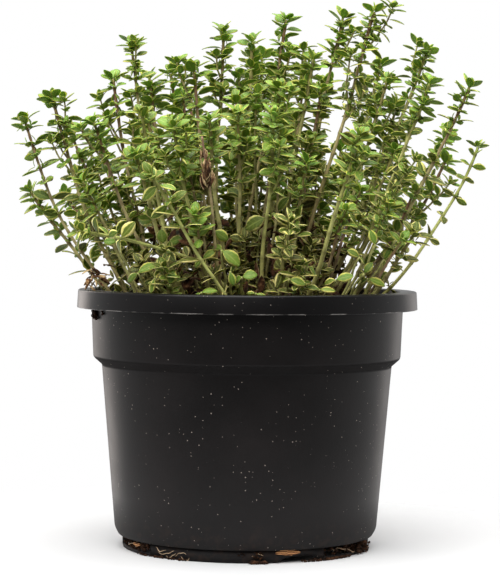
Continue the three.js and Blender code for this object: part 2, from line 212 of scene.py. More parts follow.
# Polypropylene, moulded with a fine matt grain: a satin black that picks up broad soft reflections. Pale
# dust lies on it in specks, peat water has dried under the shoulder and at the foot, and the rim is worn.
def moulded_polypropylene():
    made, tree, shader = add_finish("moulded black polypropylene", **{
        "IOR": 1.49, "Specular IOR Level": 0.26})
    place = add_node(tree, "ShaderNodeTexCoord").outputs["Object"]
    height = add_node(tree, "ShaderNodeSeparateXYZ", {"Vector": place}).outputs["Z"]
    haze = add_node(tree, "ShaderNodeTexNoise", {
        "Vector": place, "Scale": 38.0, "Detail": 5.0}).outputs["Fac"]
    shade = add_ramp(tree, haze, [(0.3, "#0f0d0d"), (0.55, "#131010"), (0.75, "#191515")])

    def specks(spacing, least, largest, power):
        """Round specks on the cells of a Voronoi pattern that draw more than the least number. Their radii
        grow with it up to the largest one, which is in metres like the spacing."""
        cells = add_node(tree, "ShaderNodeTexVoronoi", {"Vector": place, "Scale": 1 / spacing})
        pick = add_node(tree, "ShaderNodeSeparateColor", {"Color": cells.outputs["Color"]}).outputs["Red"]
        reach = add_node(tree, "ShaderNodeMapRange", {
            "Value": pick, "From Min": least, "To Max": largest / spacing}).outputs["Result"]
        inside = add_node(tree, "ShaderNodeMath", {0: cells.outputs["Distance"], 1: reach},
                          operation="LESS_THAN").outputs[0]
        return add_node(tree, "ShaderNodeMath", {0: inside, 1: power}, operation="MULTIPLY").outputs[0]

    def away_from(level):
        """How far a point lies above or below a level, which is given in millimetres."""
        off = add_node(tree, "ShaderNodeMath", {0: height, 1: level * MM}, operation="SUBTRACT").outputs[0]
        return add_node(tree, "ShaderNodeMath", {0: off}, operation="ABSOLUTE").outputs[0]

    # Dust is drawn a little larger than life, in specks up to 0.8 mm across, or it would not show.
    dust = add_node(tree, "ShaderNodeMath", {0: specks(0.0014, 0.45, 0.00021, 1.0),
                                             1: specks(0.0055, 0.7, 0.0004, 0.8)}, operation="MAXIMUM")
    drift = add_node(tree, "ShaderNodeTexNoise", {"Vector": place, "Scale": 60.0, "Detail": 1.0})
    drift = add_node(tree, "ShaderNodeMapRange", {
        "Value": drift.outputs["Fac"], "From Min": 0.36, "From Max": 0.5}).outputs["Result"]
    dust = add_node(tree, "ShaderNodeMath", {0: dust.outputs[0], 1: drift}, operation="MULTIPLY").outputs[0]
    # Hands keep the rim clean and a little polished: it is blacker and smoother than the wall.
    rim_bottom = POT_HEIGHT - RIM_DROP
    polish = add_node(tree, "ShaderNodeMapRange", {
        "Value": height, "From Min": (rim_bottom - 0.3) * MM, "From Max": rim_bottom * MM,
        "To Max": 0.5}).outputs["Result"]
    # The lower edge of the rim's skirt is worn to a pale broken line.
    worn = add_node(tree, "ShaderNodeTexNoise", {"Vector": place, "Scale": 160.0, "Detail": 8.0})
    worn = add_node(tree, "ShaderNodeMapRange", {
        "Value": worn.outputs["Fac"], "From Min": 0.48, "From Max": 0.62}).outputs["Result"]
    edge = add_node(tree, "ShaderNodeMapRange", {
        "Value": away_from(rim_bottom), "From Min": 0.0004, "From Max": 0.00015,
        "To Max": 0.8}).outputs["Result"]
    worn = add_node(tree, "ShaderNodeMath", {0: worn, 1: edge}, operation="MULTIPLY").outputs[0]
    # Brown peat water has dried round the foot, over the lowest 16 mm.
    low = add_node(tree, "ShaderNodeMapRange", {
        "Value": height, "From Min": 0.016, "From Max": 0.0, "To Max": 0.5}).outputs["Result"]
    blot = add_node(tree, "ShaderNodeTexNoise", {"Vector": place, "Scale": 330.0, "Detail": 4.0})
    blot = add_node(tree, "ShaderNodeMapRange", {
        "Value": blot.outputs["Fac"], "From Min": 0.5, "From Max": 0.68}).outputs["Result"]
    splash = add_node(tree, "ShaderNodeMath", {0: blot, 1: low}, operation="MULTIPLY").outputs[0]
    for amount, code in ((dust, "#a79c92"), (polish, "#060708"), (worn, "#96928e"), (splash, "#33241b")):
        shade = add_node(tree, "ShaderNodeMix", {"Factor": amount, 6: shade, 7: paint(code)},
                         data_type="RGBA").outputs[2]
    tree.links.new(shade, shader.inputs["Base Color"])
    # Under the shoulder and round the foot, where nothing rubs it, dried peat water keeps the wall dull.
    dull = add_node(tree, "ShaderNodeMapRange", {
        "Value": away_from(0.5 * (SHOULDER_FOOT + SHOULDER_TOP)), "From Min": 0.0021, "From Max": 0.0014,
        "To Max": 0.5}).outputs["Result"]
    base = add_node(tree, "ShaderNodeMapRange", {
        "Value": height, "From Min": 0.004, "From Max": 0.02, "To Min": 0.3, "To Max": 0.0}).outputs["Result"]
    dull = add_node(tree, "ShaderNodeMath", {0: dull, 1: base}, operation="MAXIMUM").outputs[0]
    rub = add_node(tree, "ShaderNodeMapRange", {
        "Value": haze, "From Min": 0.3, "From Max": 0.7, "To Min": 0.36, "To Max": 0.46}).outputs["Result"]
    rub = add_node(tree, "ShaderNodeMath", {0: polish, 1: -0.2, 2: rub}, operation="MULTIPLY_ADD").outputs[0]
    rub = add_node(tree, "ShaderNodeMath", {0: rub, 1: dull}, operation="ADD").outputs[0]
    tree.links.new(rub, shader.inputs["Roughness"])
    grit = add_node(tree, "ShaderNodeTexNoise", {
        "Vector": place, "Scale": 1400.0, "Detail": 2.0}).outputs["Fac"]
    relief = add_node(tree, "ShaderNodeMath", {0: grit, 1: dust}, operation="ADD").outputs[0]
    bump = add_node(tree, "ShaderNodeBump", {"Height": relief, "Strength": 0.12, "Distance": 0.0002})
    tree.links.new(bump.outputs["Normal"], shader.inputs["Normal"])
    return made


# The wall's section runs the other way round from the foot ring's, so its faces are turned over.
pot_finish = moulded_polypropylene()
even = np.arange(0, 360, 1.5)
points, faces = swept(np.repeat(pot_wall()[None], len(even), 0), even)
add_piece("pot_wall_and_rim", points, [faces[:, ::-1]], pot_finish, "pot_plastic", ["pot"])

# At each end of a drain slot two angles lie close together, so that the foot ring ends in a square cut.
slot_edges = np.array([drain + side * (DRAIN_SPAN / 2 + step)
                       for drain in DRAINS for side in (-1, 1) for step in (-0.01, 0.01)]) % 360
angles = np.unique(np.concatenate([even, slot_edges]))
points, faces = swept(foot_sections(angles), angles)
add_piece("pot_foot_ring", points, [faces], pot_finish, "pot_plastic", ["pot"])

plate = np.array([(0.5, FLOOR_LIFT), (FOOT_RADIUS - DRAIN_DEPTH, FLOOR_LIFT),
                  (FOOT_RADIUS - DRAIN_DEPTH, FLOOR_LIFT + WALL), (0.5, FLOOR_LIFT + WALL)])
spokes = np.arange(0, 360, 6)
points = ring_place(spokes, plate[:, :1], plate[:, 1:])
points = np.concatenate([points.reshape(-1, 3), [(0, 0, FLOOR_LIFT), (0, 0, FLOOR_LIFT + WALL)]])
add_piece("pot_floor", points, capped_faces(len(plate), len(spokes)), pot_finish, "pot_plastic", ["pot"])

# ---- Peat root ball --------------------------------------------------------------------------------
# Damp brown peat pressed into the pot, a hand's breadth deep, with a crumbly top a little below the rim.
# Its crumbs, bark chips and fine roots are pieces of the same peat, washed loose at the top and the foot.

PEAT_LEVEL, PEAT_CROWN, PEAT_GAP, PEAT_LUMP = 88.0, 91.0, 0.35, 0.7
# How far above the pot's shoulder the peat steps out, its extra gap at the collar, and its loose crumbs.
PEAT_OVER_SHOULDER, PEAT_SHRINK, CRUMBS_ON_TOP = 0.9, 0.2, 2200


def peat_height(x, y):
    """The peat's surface: a parabolic mound, with lumps that are a sum of sine waves and fade at the wall."""
    share = np.minimum(1, np.hypot(x, y) / COLLAR_FOOT_RADIUS)
    lumps = np.sin(0.21 * x + 1.3) * np.cos(0.17 * y) + 0.6 * np.sin(0.33 * x - 0.27 * y)
    return PEAT_CROWN - (PEAT_CROWN - PEAT_LEVEL) * share ** 2 + PEAT_LUMP * lumps * (1 - share)


def peat_grain(x, y):
    """Crumbs too small to be pieces: five short waves in several directions, up to 0.65 mm high together."""
    waves = sum(np.sin(k * (x * np.cos(a) + y * np.sin(a)) + 7 * a)
                for k, a in ((1.1, 0.3), (1.7, 1.4), (2.3, 2.2), (3.1, 0.9), (3.9, 2.9)))
    return 0.13 * waves


def root_ball():
    """Rings from the middle of the floor, up the wall and in over the top, whose height is the mound plus
    the grain, with a point at either end."""
    inset = WALL + PEAT_GAP
    angles = np.radians(np.arange(0, 360, 2.0))
    side = np.array([(0.5, FLOOR_LIFT + inset), (FOOT_RADIUS - inset, FLOOR_LIFT + inset),
                     (BODY_FOOT_RADIUS - inset, BODY_FOOT_HEIGHT + BODY_FOOT_UP),
                     (BODY_RADIUS - inset, SHOULDER_FOOT + PEAT_OVER_SHOULDER),
                     (COLLAR_FOOT_RADIUS - inset, SHOULDER_TOP + PEAT_OVER_SHOULDER)])
    top = np.linspace(COLLAR_RADIUS - inset - PEAT_SHRINK, 0.5, 64)
    radius = np.concatenate([side[:, 0], top])[:, None]
    x, y = radius * np.sin(angles), -radius * np.cos(angles)
    z = peat_height(x, y) + peat_grain(x, y)
    z[:len(side)] = side[:, 1:]
    points = np.concatenate([np.stack([x, y, z], -1).reshape(-1, 3),
                             [(0, 0, side[0, 1]), (0, 0, peat_height(0, 0))]])
    return points, *capped_faces(len(radius), len(angles))


# Sphagnum peat, dark with water: almost black between the crumbs, red-brown where fibre shows, and dull.
def damp_peat():
    made, tree, shader = add_finish("damp peat", **{"Roughness": 0.95, "IOR": 1.4, "Specular IOR Level": 0.2})
    place = add_node(tree, "ShaderNodeTexCoord").outputs["Object"]
    clod = add_node(tree, "ShaderNodeTexNoise", {
        "Vector": place, "Scale": 260.0, "Detail": 6.0, "Roughness": 0.7}).outputs["Fac"]
    shade = add_ramp(tree, clod, [(0.3, "#120c08"), (0.47, "#2a1b12"), (0.6, "#4a3020"), (0.72, "#7a5335")])
    tree.links.new(shade, shader.inputs["Base Color"])
    bump = add_node(tree, "ShaderNodeBump", {"Height": clod, "Strength": 0.8, "Distance": 0.001})
    tree.links.new(bump.outputs["Normal"], shader.inputs["Normal"])
    return made


def crumbs(centres, sizes, seed):
    """Irregular crumbs: the twelve corners of an icosahedron, each pushed in or out at random, stretched
    along random axes and turned at random, one set about every centre."""
    draw = np.random.default_rng(seed)
    gold = (1 + 5 ** 0.5) / 2
    base = np.array([(-1, gold, 0), (1, gold, 0), (-1, -gold, 0), (1, -gold, 0),
                     (0, -1, gold), (0, 1, gold), (0, -1, -gold), (0, 1, -gold),
                     (gold, 0, -1), (gold, 0, 1), (-gold, 0, -1), (-gold, 0, 1)])
    sides = np.array([(0, 11, 5), (0, 5, 1), (0, 1, 7), (0, 7, 10), (0, 10, 11), (1, 5, 9), (5, 11, 4),
                      (11, 10, 2), (10, 7, 6), (7, 1, 8), (3, 9, 4), (3, 4, 2), (3, 2, 6), (3, 6, 8),
                      (3, 8, 9), (4, 9, 5), (2, 4, 11), (6, 2, 10), (8, 6, 7), (9, 8, 1)])
    count = len(centres)
    shape = base / 1.9 * draw.uniform(0.7, 1.15, (count, 12, 1)) * draw.uniform(0.5, 1, (count, 1, 3))
    turn = np.linalg.qr(draw.normal(size=(count, 3, 3)))[0]
    turn *= np.sign(np.linalg.det(turn))[:, None, None]
    points = centres[:, None] + np.einsum("nij,nkj->nki", turn, shape * sizes[:, None, None])
    faces = sides[None] + 12 * np.arange(count)[:, None, None]
    return points.reshape(-1, 3), faces.reshape(-1, 3)


peat_finish = damp_peat()
points, walls, ends = root_ball()
add_piece("root_ball", points, [walls, ends], peat_finish, "peat", ["peat"])

# Loose crumbs lie evenly over the top, and most of them are small.
draw = np.random.default_rng(11)
spread = COLLAR_FOOT_RADIUS * 0.95 * np.sqrt(draw.random(CRUMBS_ON_TOP))
around = draw.uniform(0, 2 * np.pi, CRUMBS_ON_TOP)
x, y = spread * np.cos(around), spread * np.sin(around)
size = draw.uniform(0.35, 1.0, CRUMBS_ON_TOP) + 1.1 * draw.random(CRUMBS_ON_TOP) ** 8
points, faces = crumbs(np.stack([x, y, peat_height(x, y) + 0.3 * size], -1), size, 12)
add_piece("peat_crumbs", points, [faces], peat_finish, "peat")

# ---- Thyme shoots ----------------------------------------------------------------------------------
# Variegated lemon thyme: square stems that fan out of the crown, green at the tip, purple-brown below it
# and straw-coloured towards the root, with crossed pairs of leaves and a tuft of small leaves in each axil.

ROOT_LEVEL, ROOT_DEPTH, FAN_LEVEL, FAN_POWER = 80.0, 12.5, 60.0, 0.6
BOW, BOW_SAG = 0.1, 0.6
GOLDEN_ANGLE = 137.508

# Each shoot's tip as (across, depth, height), then its root as (across, depth) and how far it bows, where
# it isn't rooted on the common fan. These are the shoots of the solids, in millimetres.
SHOOTS = {
    "left": [
        (-86, 5, 162, (-38, 5), 0.2),
        (-74, -12, 170, (-36, -8), 0.16),
        (-70, 28, 158),
        (-85, 18, 135, (-37, 10), 0.08),
        (-57, -30, 160),
        (-52, 0, 178, (-31, -1), 0.1),
        (-46, 15, 193, (-27, 9), 0.12),
        (-40, 42, 181, (-21, 19), 0.1),
    ],
    "top": [
        (-31, 27, 182),
        (-21, -5, 182),
        (-10, 5, 197, (-14, 3), 0),
        (1, 30, 195, (-4, 13), 0.05),
        (14, 0, 201, (-8, -1), 0.02),
        (5, 46, 190),
        (24, -15, 185, (5, -7), 0.05),
        (36, 12, 203, (5, 5), 0.05),
        (46, -25, 202, (11, -12), 0.02),
        (-4, 8, 180),
        (-26, 20, 172),
        (22, 26, 188),
    ],
    "right": [
        (52, 35, 187),
        (53, 5, 179),
        (68.5, 10, 190, (22, 3), 0.05),
        (66, -35, 175),
        (84, 0, 176),
        (87, -6, 153, (31, -6), 0.2),
        (78, 30, 149),
        (60, 52, 172),
        (80, 46, 160),
    ],
    "front": [
        (-39, -38, 163, (-21, -20), 0.1),
        (-27, -45, 158),
        (-14, -53, 160),
        (-4, -43, 163),
        (-40, -58, 147),
        (-34, -66, 140, (2, -43), 0),
        (-60, -63, 120, (-3, -31), -0.55),
        (9, -55, 162),
        (39, -60, 155),
        (61, -34, 120),
        (11, -30, 173),
        (15, -60, 124),
    ],
    "back": [
        (-62, 50, 158),
        (-44, 59, 154),
        (-24, 56, 174),
        (-8, 64, 158),
        (14, 60, 170),
        (31, 46, 180),
        (38, 63, 154),
        (64, 60, 143),
        (-27, 64, 128),
        (-74, 48, 134, (-29, 19), 0.04),
    ],
    "low": [
        (19, -52, 108, (16, -42), 0),
        (-30, -53, 107, (-26, -43), 0),
        (-34, 46, 112, (-28, 38), 0),
        (34, 47, 110, (28, 40), 0),
    ],
}


def shoot_line(across, depth, height, root=None, bow=BOW):
    """The three points of a shoot's quadratic curve: its root, its tip, and a middle that is moved out and
    down by a share of the reach, so that the shoot leaves the crown low and then rises."""
    fan = ((ROOT_LEVEL - FAN_LEVEL) / (height - FAN_LEVEL)) ** FAN_POWER
    foot = np.array([*(root or (across * fan, depth * fan)), ROOT_LEVEL], float)
    tip = np.array([across, depth, height], float)
    reach = tip - foot
    return foot, (foot + tip) / 2 + bow * reach * [1, 1, -BOW_SAG], tip


def unit(vectors):
    """Each row of vectors divided by its length."""
    return vectors / np.linalg.norm(vectors, axis=1)[:, None]


def turned(first, second, angle):
    """The first direction, turned by an angle towards the second, which stands square to it."""
    return np.cos(angle) * first + np.sin(angle) * second


def walk(line, drops, sway=0.0, swing=0.0):
    """Centres, directions and two directions across, at distances below the tip of a quadratic curve: its
    length is summed in 200 steps, and each distance is looked up in the sum. The centres sway to the side
    in a slow wave that dies away at both ends."""
    start, middle, end = line
    t = np.linspace(0, 1, 201)[:, None]
    run = quadratic(*line, t)
    length = np.concatenate([[0], np.cumsum(np.linalg.norm(np.diff(run, axis=0), axis=1))])
    t = np.interp(length[-1] - np.asarray(drops, float), length, t[:, 0])[:, None]
    centres = quadratic(*line, t)
    along = unit((1 - t) * (middle - start) + t * (end - middle))
    first = unit(np.array([1.0, 0, 0]) - along[:, :1] * along)
    second = np.cross(along, first)
    wave = sway * np.sin(np.pi * t) * np.sin(9 * t + swing)
    return centres + wave * first + wave * np.cos(5 * t + swing) * second, along, first, second


def line_length(line):
    """The length of a quadratic curve, summed over 200 chords."""
    run = quadratic(*line, np.linspace(0, 1, 201)[:, None])
    return float(np.linalg.norm(np.diff(run, axis=0), axis=1).sum())


def pair_drop(pair):
    """Distance of a pair of leaves below the tip: close at the tip, and ever wider apart below it."""
    return 1.2 + 1.5 * pair + 0.26 * pair * pair


# The sides of a stem's tube, and the length below the tip over which a stem's colours change.
STEM_SIDES, COLOURED_LENGTH = 8, 110


def square_tube(centres, first, second, radius, phase, sides=STEM_SIDES):
    """A closed rod with a rounded square section: its radius swells by a twelfth at the four corners."""
    turn = np.radians(phase) + np.arange(sides) * 2 * np.pi / sides
    wave = 1 + np.cos(4 * (turn - np.radians(phase + 45))) / 12
    spokes = wave[:, None, None] * turned(first, second, turn[:, None, None])
    rings = (centres + radius[:, None] * spokes).transpose(1, 0, 2)
    points = np.concatenate([rings.reshape(-1, 3), centres[:1], centres[-1:]])
    return points, *capped_faces(len(centres), sides)


def downy_hairs(draw, centres, along, first, second, radius, count):
    """Hairs on a stem: thin four-faced spikes 0.3 to 0.6 mm long, at random places round and along it, each
    leaning a little towards the root."""
    place = draw.integers(0, len(centres) - 1, count)
    share = draw.random(count)[:, None]
    angle = draw.uniform(0, 2 * np.pi, count)[:, None]
    out = turned(first[place], second[place], angle)
    side = np.cross(along[place], out)
    middle = centres[place] * (1 - share) + centres[place + 1] * share + out * radius[place][:, None] * 0.9
    tip = middle + (out * draw.uniform(0.3, 0.6, (count, 1))
                    - along[place] * draw.uniform(0, 0.3, (count, 1)))
    foot = [middle + 0.04 * turned(side, along[place], a) for a in np.radians((0, 120, 240))]
    points = np.stack([*foot, tip], 1).reshape(-1, 3)
    faces = np.array([(0, 1, 3), (1, 2, 3), (2, 0, 3), (0, 2, 1)]) + 4 * np.arange(count)[:, None, None]
    return points, faces.reshape(-1, 3)


def stem_part(draw, line, phase, wide, thin, sway, swing, sun, pitch=1.0, first_drop=0.0, hairs=3):
    """A stem's tube, tapered from root to tip with a swelling at every pair of leaves, and its marks: the
    distance below the tip, how sunburnt it is, and how near a joint. It also gets its hairs."""
    length = line_length(line)
    joints = pair_drop(np.arange(30)) * pitch
    joints = joints[joints < length - 1]
    drops = np.linspace(0, length, max(6, int(length / 2.4)))
    drops = np.unique(np.concatenate([drops, joints, joints + 0.7]))[::-1]
    near = np.exp(-((drops[:, None] - joints) / 0.7) ** 2).max(1)
    centres, along, first, second = walk(line, drops, sway, swing)
    radius = (thin + (wide - thin) * drops / length) * (1 + 0.25 * near)
    points, walls, ends = square_tube(centres, first, second, radius, phase)
    place = np.append(np.repeat(drops, STEM_SIDES), [drops[0], drops[-1]]) + first_drop
    near = np.append(np.repeat(near, STEM_SIDES), [0, 0])
    marks = np.stack([np.clip(place / COLOURED_LENGTH, 0, 1), np.full(len(place), sun), near,
                      np.ones(len(place))], -1)
    down, spikes = downy_hairs(draw, centres, along, first, second, radius, int(length * hairs))
    pale = np.tile([0.0, 0.0, 0.0, 1.0], (len(down), 1))
    return (np.concatenate([points, down]), walls, np.concatenate([ends, spikes + len(points)]),
            np.concatenate([marks, pale]))


def leaf_set(draw, root, outward, along, rise, length, plump, age, cream, dry=0.0, loose=1.0):
    """Leaves at given points, each pointing outward from its stem and raised by an angle in degrees, with
    random turns of its own: about 10 degrees to the side and up, and 18 about its midrib, times how loose
    it is."""
    count = len(root)
    lift = np.radians(rise + loose * draw.normal(0, 9, count))[:, None]
    yaw = np.radians(loose * draw.normal(0, 11, count))[:, None]
    roll = np.radians(loose * draw.normal(0, 18, count))[:, None]
    outward = turned(outward, np.cross(along, outward), yaw)
    midrib = turned(outward, along, lift)
    upper = turned(along, -outward, lift)
    upper = turned(upper, np.cross(midrib, upper), roll)
    curl = 1 + 1.6 * np.broadcast_to(dry, count)
    length = length * draw.uniform(0.84, 1.14, count)
    tint = np.stack(np.broadcast_arrays(
        age, np.clip(cream + draw.normal(0, 0.17, count), 0, 1), draw.random(count), dry), -1)
    return {
        "root": root, "midrib": midrib, "upper": upper, "length": length,
        "width": length * plump * draw.uniform(0.86, 1.12, count) / curl,
        "droop": draw.uniform(0.0, 0.2, count) * curl, "fold": draw.uniform(-0.05, 0.35, count) * curl,
        "tint": tint}


def tufts(draw, node, outward, along, reach, age, cream):
    """The young side shoots in the leaves' axils: each is a short axis that leans out, with two crossed
    pairs of leaves, the first to its sides and the second in line with the stem."""
    axis = outward * 0.62 + along * 0.78
    side = unit(np.cross(axis, outward))
    front = np.cross(side, axis)
    low = node + outward * 0.3 + axis * reach[:, None] * 0.14
    high = low + axis * reach[:, None] * 0.34
    return [leaf_set(draw, place, way, axis, rise, reach * share, 0.62, age, cream)
            for place, way, rise, share in ((low, side, 20, 1.0), (low, -side, 20, 1.0),
                                            (high, front, 44, 0.74), (high, -front, 44, 0.74))]


def crossed_leaves(draw, line, phase, last, sway, swing, youth, cream, scale=1.0, pitch=1.0, tuft_chance=0.9,
                   first_tuft=1, bare_from=24.0, loose=1.0):
    """An axis's crossed pairs of leaves, from the bud down to a last distance below the tip. Towards the tip
    they are shorter, rounder and more upright, by decaying exponentials of the pair's number. Four joints may
    stay bare, and tufts sit in the axils. Past a distance the pairs thin out, and what is left of them is
    larger and looser. The last setting says how far the leaves stray from their angles."""
    pair = np.arange(-3, 40)
    drops = np.where(pair < 0, 0.4 * (pair + 2), pair_drop(np.maximum(pair, 0)) * pitch)
    pair, drops = pair[drops < last], drops[drops < last]
    # Some of the upper joints between the main pairs stay bare, which breaks the shoot into tiers.
    full = ~np.isin(pair, (2, 5, 6, 7)) | (draw.random(len(pair)) > 0.3)
    pair, drops = np.repeat(pair[full], 2), np.repeat(drops[full], 2)
    centres, along, first, second = walk(line, drops, sway, swing)
    side = pair % 2 + 2 * (np.arange(len(pair)) % 2)
    angle = np.radians(phase + 90 + 90 * side + draw.normal(0, 8, len(pair)))[:, None]
    outward = turned(first, second, angle)
    early = np.exp(-(pair + 3) / 2.0)
    age = np.clip(drops / 80 + youth, 0, 1)
    far = np.clip((drops - bare_from) / 20, 0, 1)
    kept = draw.random(len(pair)) > 0.82 * far
    dry = (far > 0.6) & (draw.random(len(pair)) < 0.14)
    length = 7.7 * scale * (1 - 0.52 * early) * (1 + 0.06 * age)
    rise = 15 + 52 * early
    plump = 0.54 + 0.28 * early + 0.08 * far

    def chosen(pick, loose):
        return leaf_set(draw, (centres + outward * 0.3)[pick], outward[pick], along[pick], rise[pick],
                        length[pick], plump[pick], age[pick], (cream + 0.4 * age)[pick],
                        dry[pick].astype(float), loose)

    sets = [chosen(kept & (far == 0), loose), chosen(kept & (far > 0), 3.0)]
    pick = (pair >= first_tuft) & (draw.random(len(pair)) < tuft_chance * (1 - 0.75 * far))
    reach = draw.uniform(2.7, 4.6, pick.sum()) * scale * (1 + 0.3 * age[pick])
    return sets + tufts(draw, centres[pick], outward[pick], along[pick], reach,
                        np.maximum(0, age[pick] - 0.22), cream + 0.4 * age[pick])


# Where the rows of points lie along a blade of either kind, and the length from which a leaf is a big one.
BIG_ROWS = np.array([0.09, 0.22, 0.4, 0.6, 0.8, 0.94])
SMALL_ROWS = np.array([0.18, 0.5, 0.84])
BIG_LEAF = 4.0


def blade_faces(rows, columns):
    """Faces of one closed blade: a top and a bottom grid that share their outer columns, and two points
    that close the ends."""
    top = np.arange(rows * columns).reshape(rows, columns)
    under = top.copy()
    under[:, 1:-1] = rows * columns + np.arange(rows * (columns - 2)).reshape(rows, -1)
    root = rows * (2 * columns - 2)
    tip = root + 1
    quads, fans = [], []
    for grid, turn in ((top, 1), (under, -1)):
        quads.append(np.stack([grid[:-1, :-1], grid[:-1, 1:], grid[1:, 1:], grid[1:, :-1]], -1)
                     .reshape(-1, 4)[:, ::turn])
        fans.append(np.stack([np.full(columns - 1, root), grid[0, 1:], grid[0, :-1]], -1)[:, ::turn])
        fans.append(np.stack([grid[-1, :-1], grid[-1, 1:], np.full(columns - 1, tip)], -1)[:, ::turn])
    return np.concatenate(quads), np.concatenate(fans)


def blades(leaves, along_rows, columns):
    """Closed leaf blades, all at once. A blade's width follows a sine to the power 0.7, from a short stalk to
    its tip. Its sides rise from the midrib in a shallow V and curl down at the margin. It arches along its
    length and its tip droops. It is 0.3 mm thick in the middle, and thins to its margin."""
    root, midrib, upper, length, width, droop, fold = (leaves[k] for k in (
        "root", "midrib", "upper", "length", "width", "droop", "fold"))
    right = np.cross(midrib, upper)
    s = along_rows[None, :, None]
    t = np.linspace(-1, 1, columns)[None, None, :]
    lens = np.sin(np.pi * np.clip((along_rows - 0.06) / 0.94, 0, 1)) ** 0.7
    half = 0.5 * width[:, None, None] * np.maximum(lens, 0.14)[None, :, None]
    rise = half * (fold[:, None, None] * np.abs(t) - 0.16 * t ** 4)
    rise = rise + length[:, None, None] * (0.22 * s * (1 - s) - droop[:, None, None] * s ** 2)
    skin = 0.15 * np.sqrt(1 - t ** 2) * np.ones_like(s)

    def placed(out, up):
        return (root[:, None, None] + (s * length[:, None, None])[..., None] * midrib[:, None, None]
                + out[..., None] * right[:, None, None] + up[..., None] * upper[:, None, None])

    out = half * t
    top = placed(out, rise + skin).reshape(len(root), -1, 3)
    under = placed(out, rise - skin)[:, :, 1:-1].reshape(len(root), -1, 3)
    start = root[:, None]
    end = root[:, None] + length[:, None, None] * (midrib - droop[:, None] * upper)[:, None]
    points = np.concatenate([top, under, start, end], 1)
    grid = np.stack(np.broadcast_arrays(0.5 + 0.5 * t, s), -1)
    flat = np.concatenate([grid.reshape(-1, 2), grid[:, :, 1:-1].reshape(-1, 2), [(0.5, 0.0), (0.5, 1.0)]])
    quads, fans = blade_faces(len(along_rows), columns)
    count = points.shape[1]
    step = count * np.arange(len(root))[:, None, None]
    return (points.reshape(-1, 3), (quads + step).reshape(-1, 4), (fans + step).reshape(-1, 3),
            np.tile(flat, (len(root), 1)), np.repeat(leaves["tint"], count, 0))


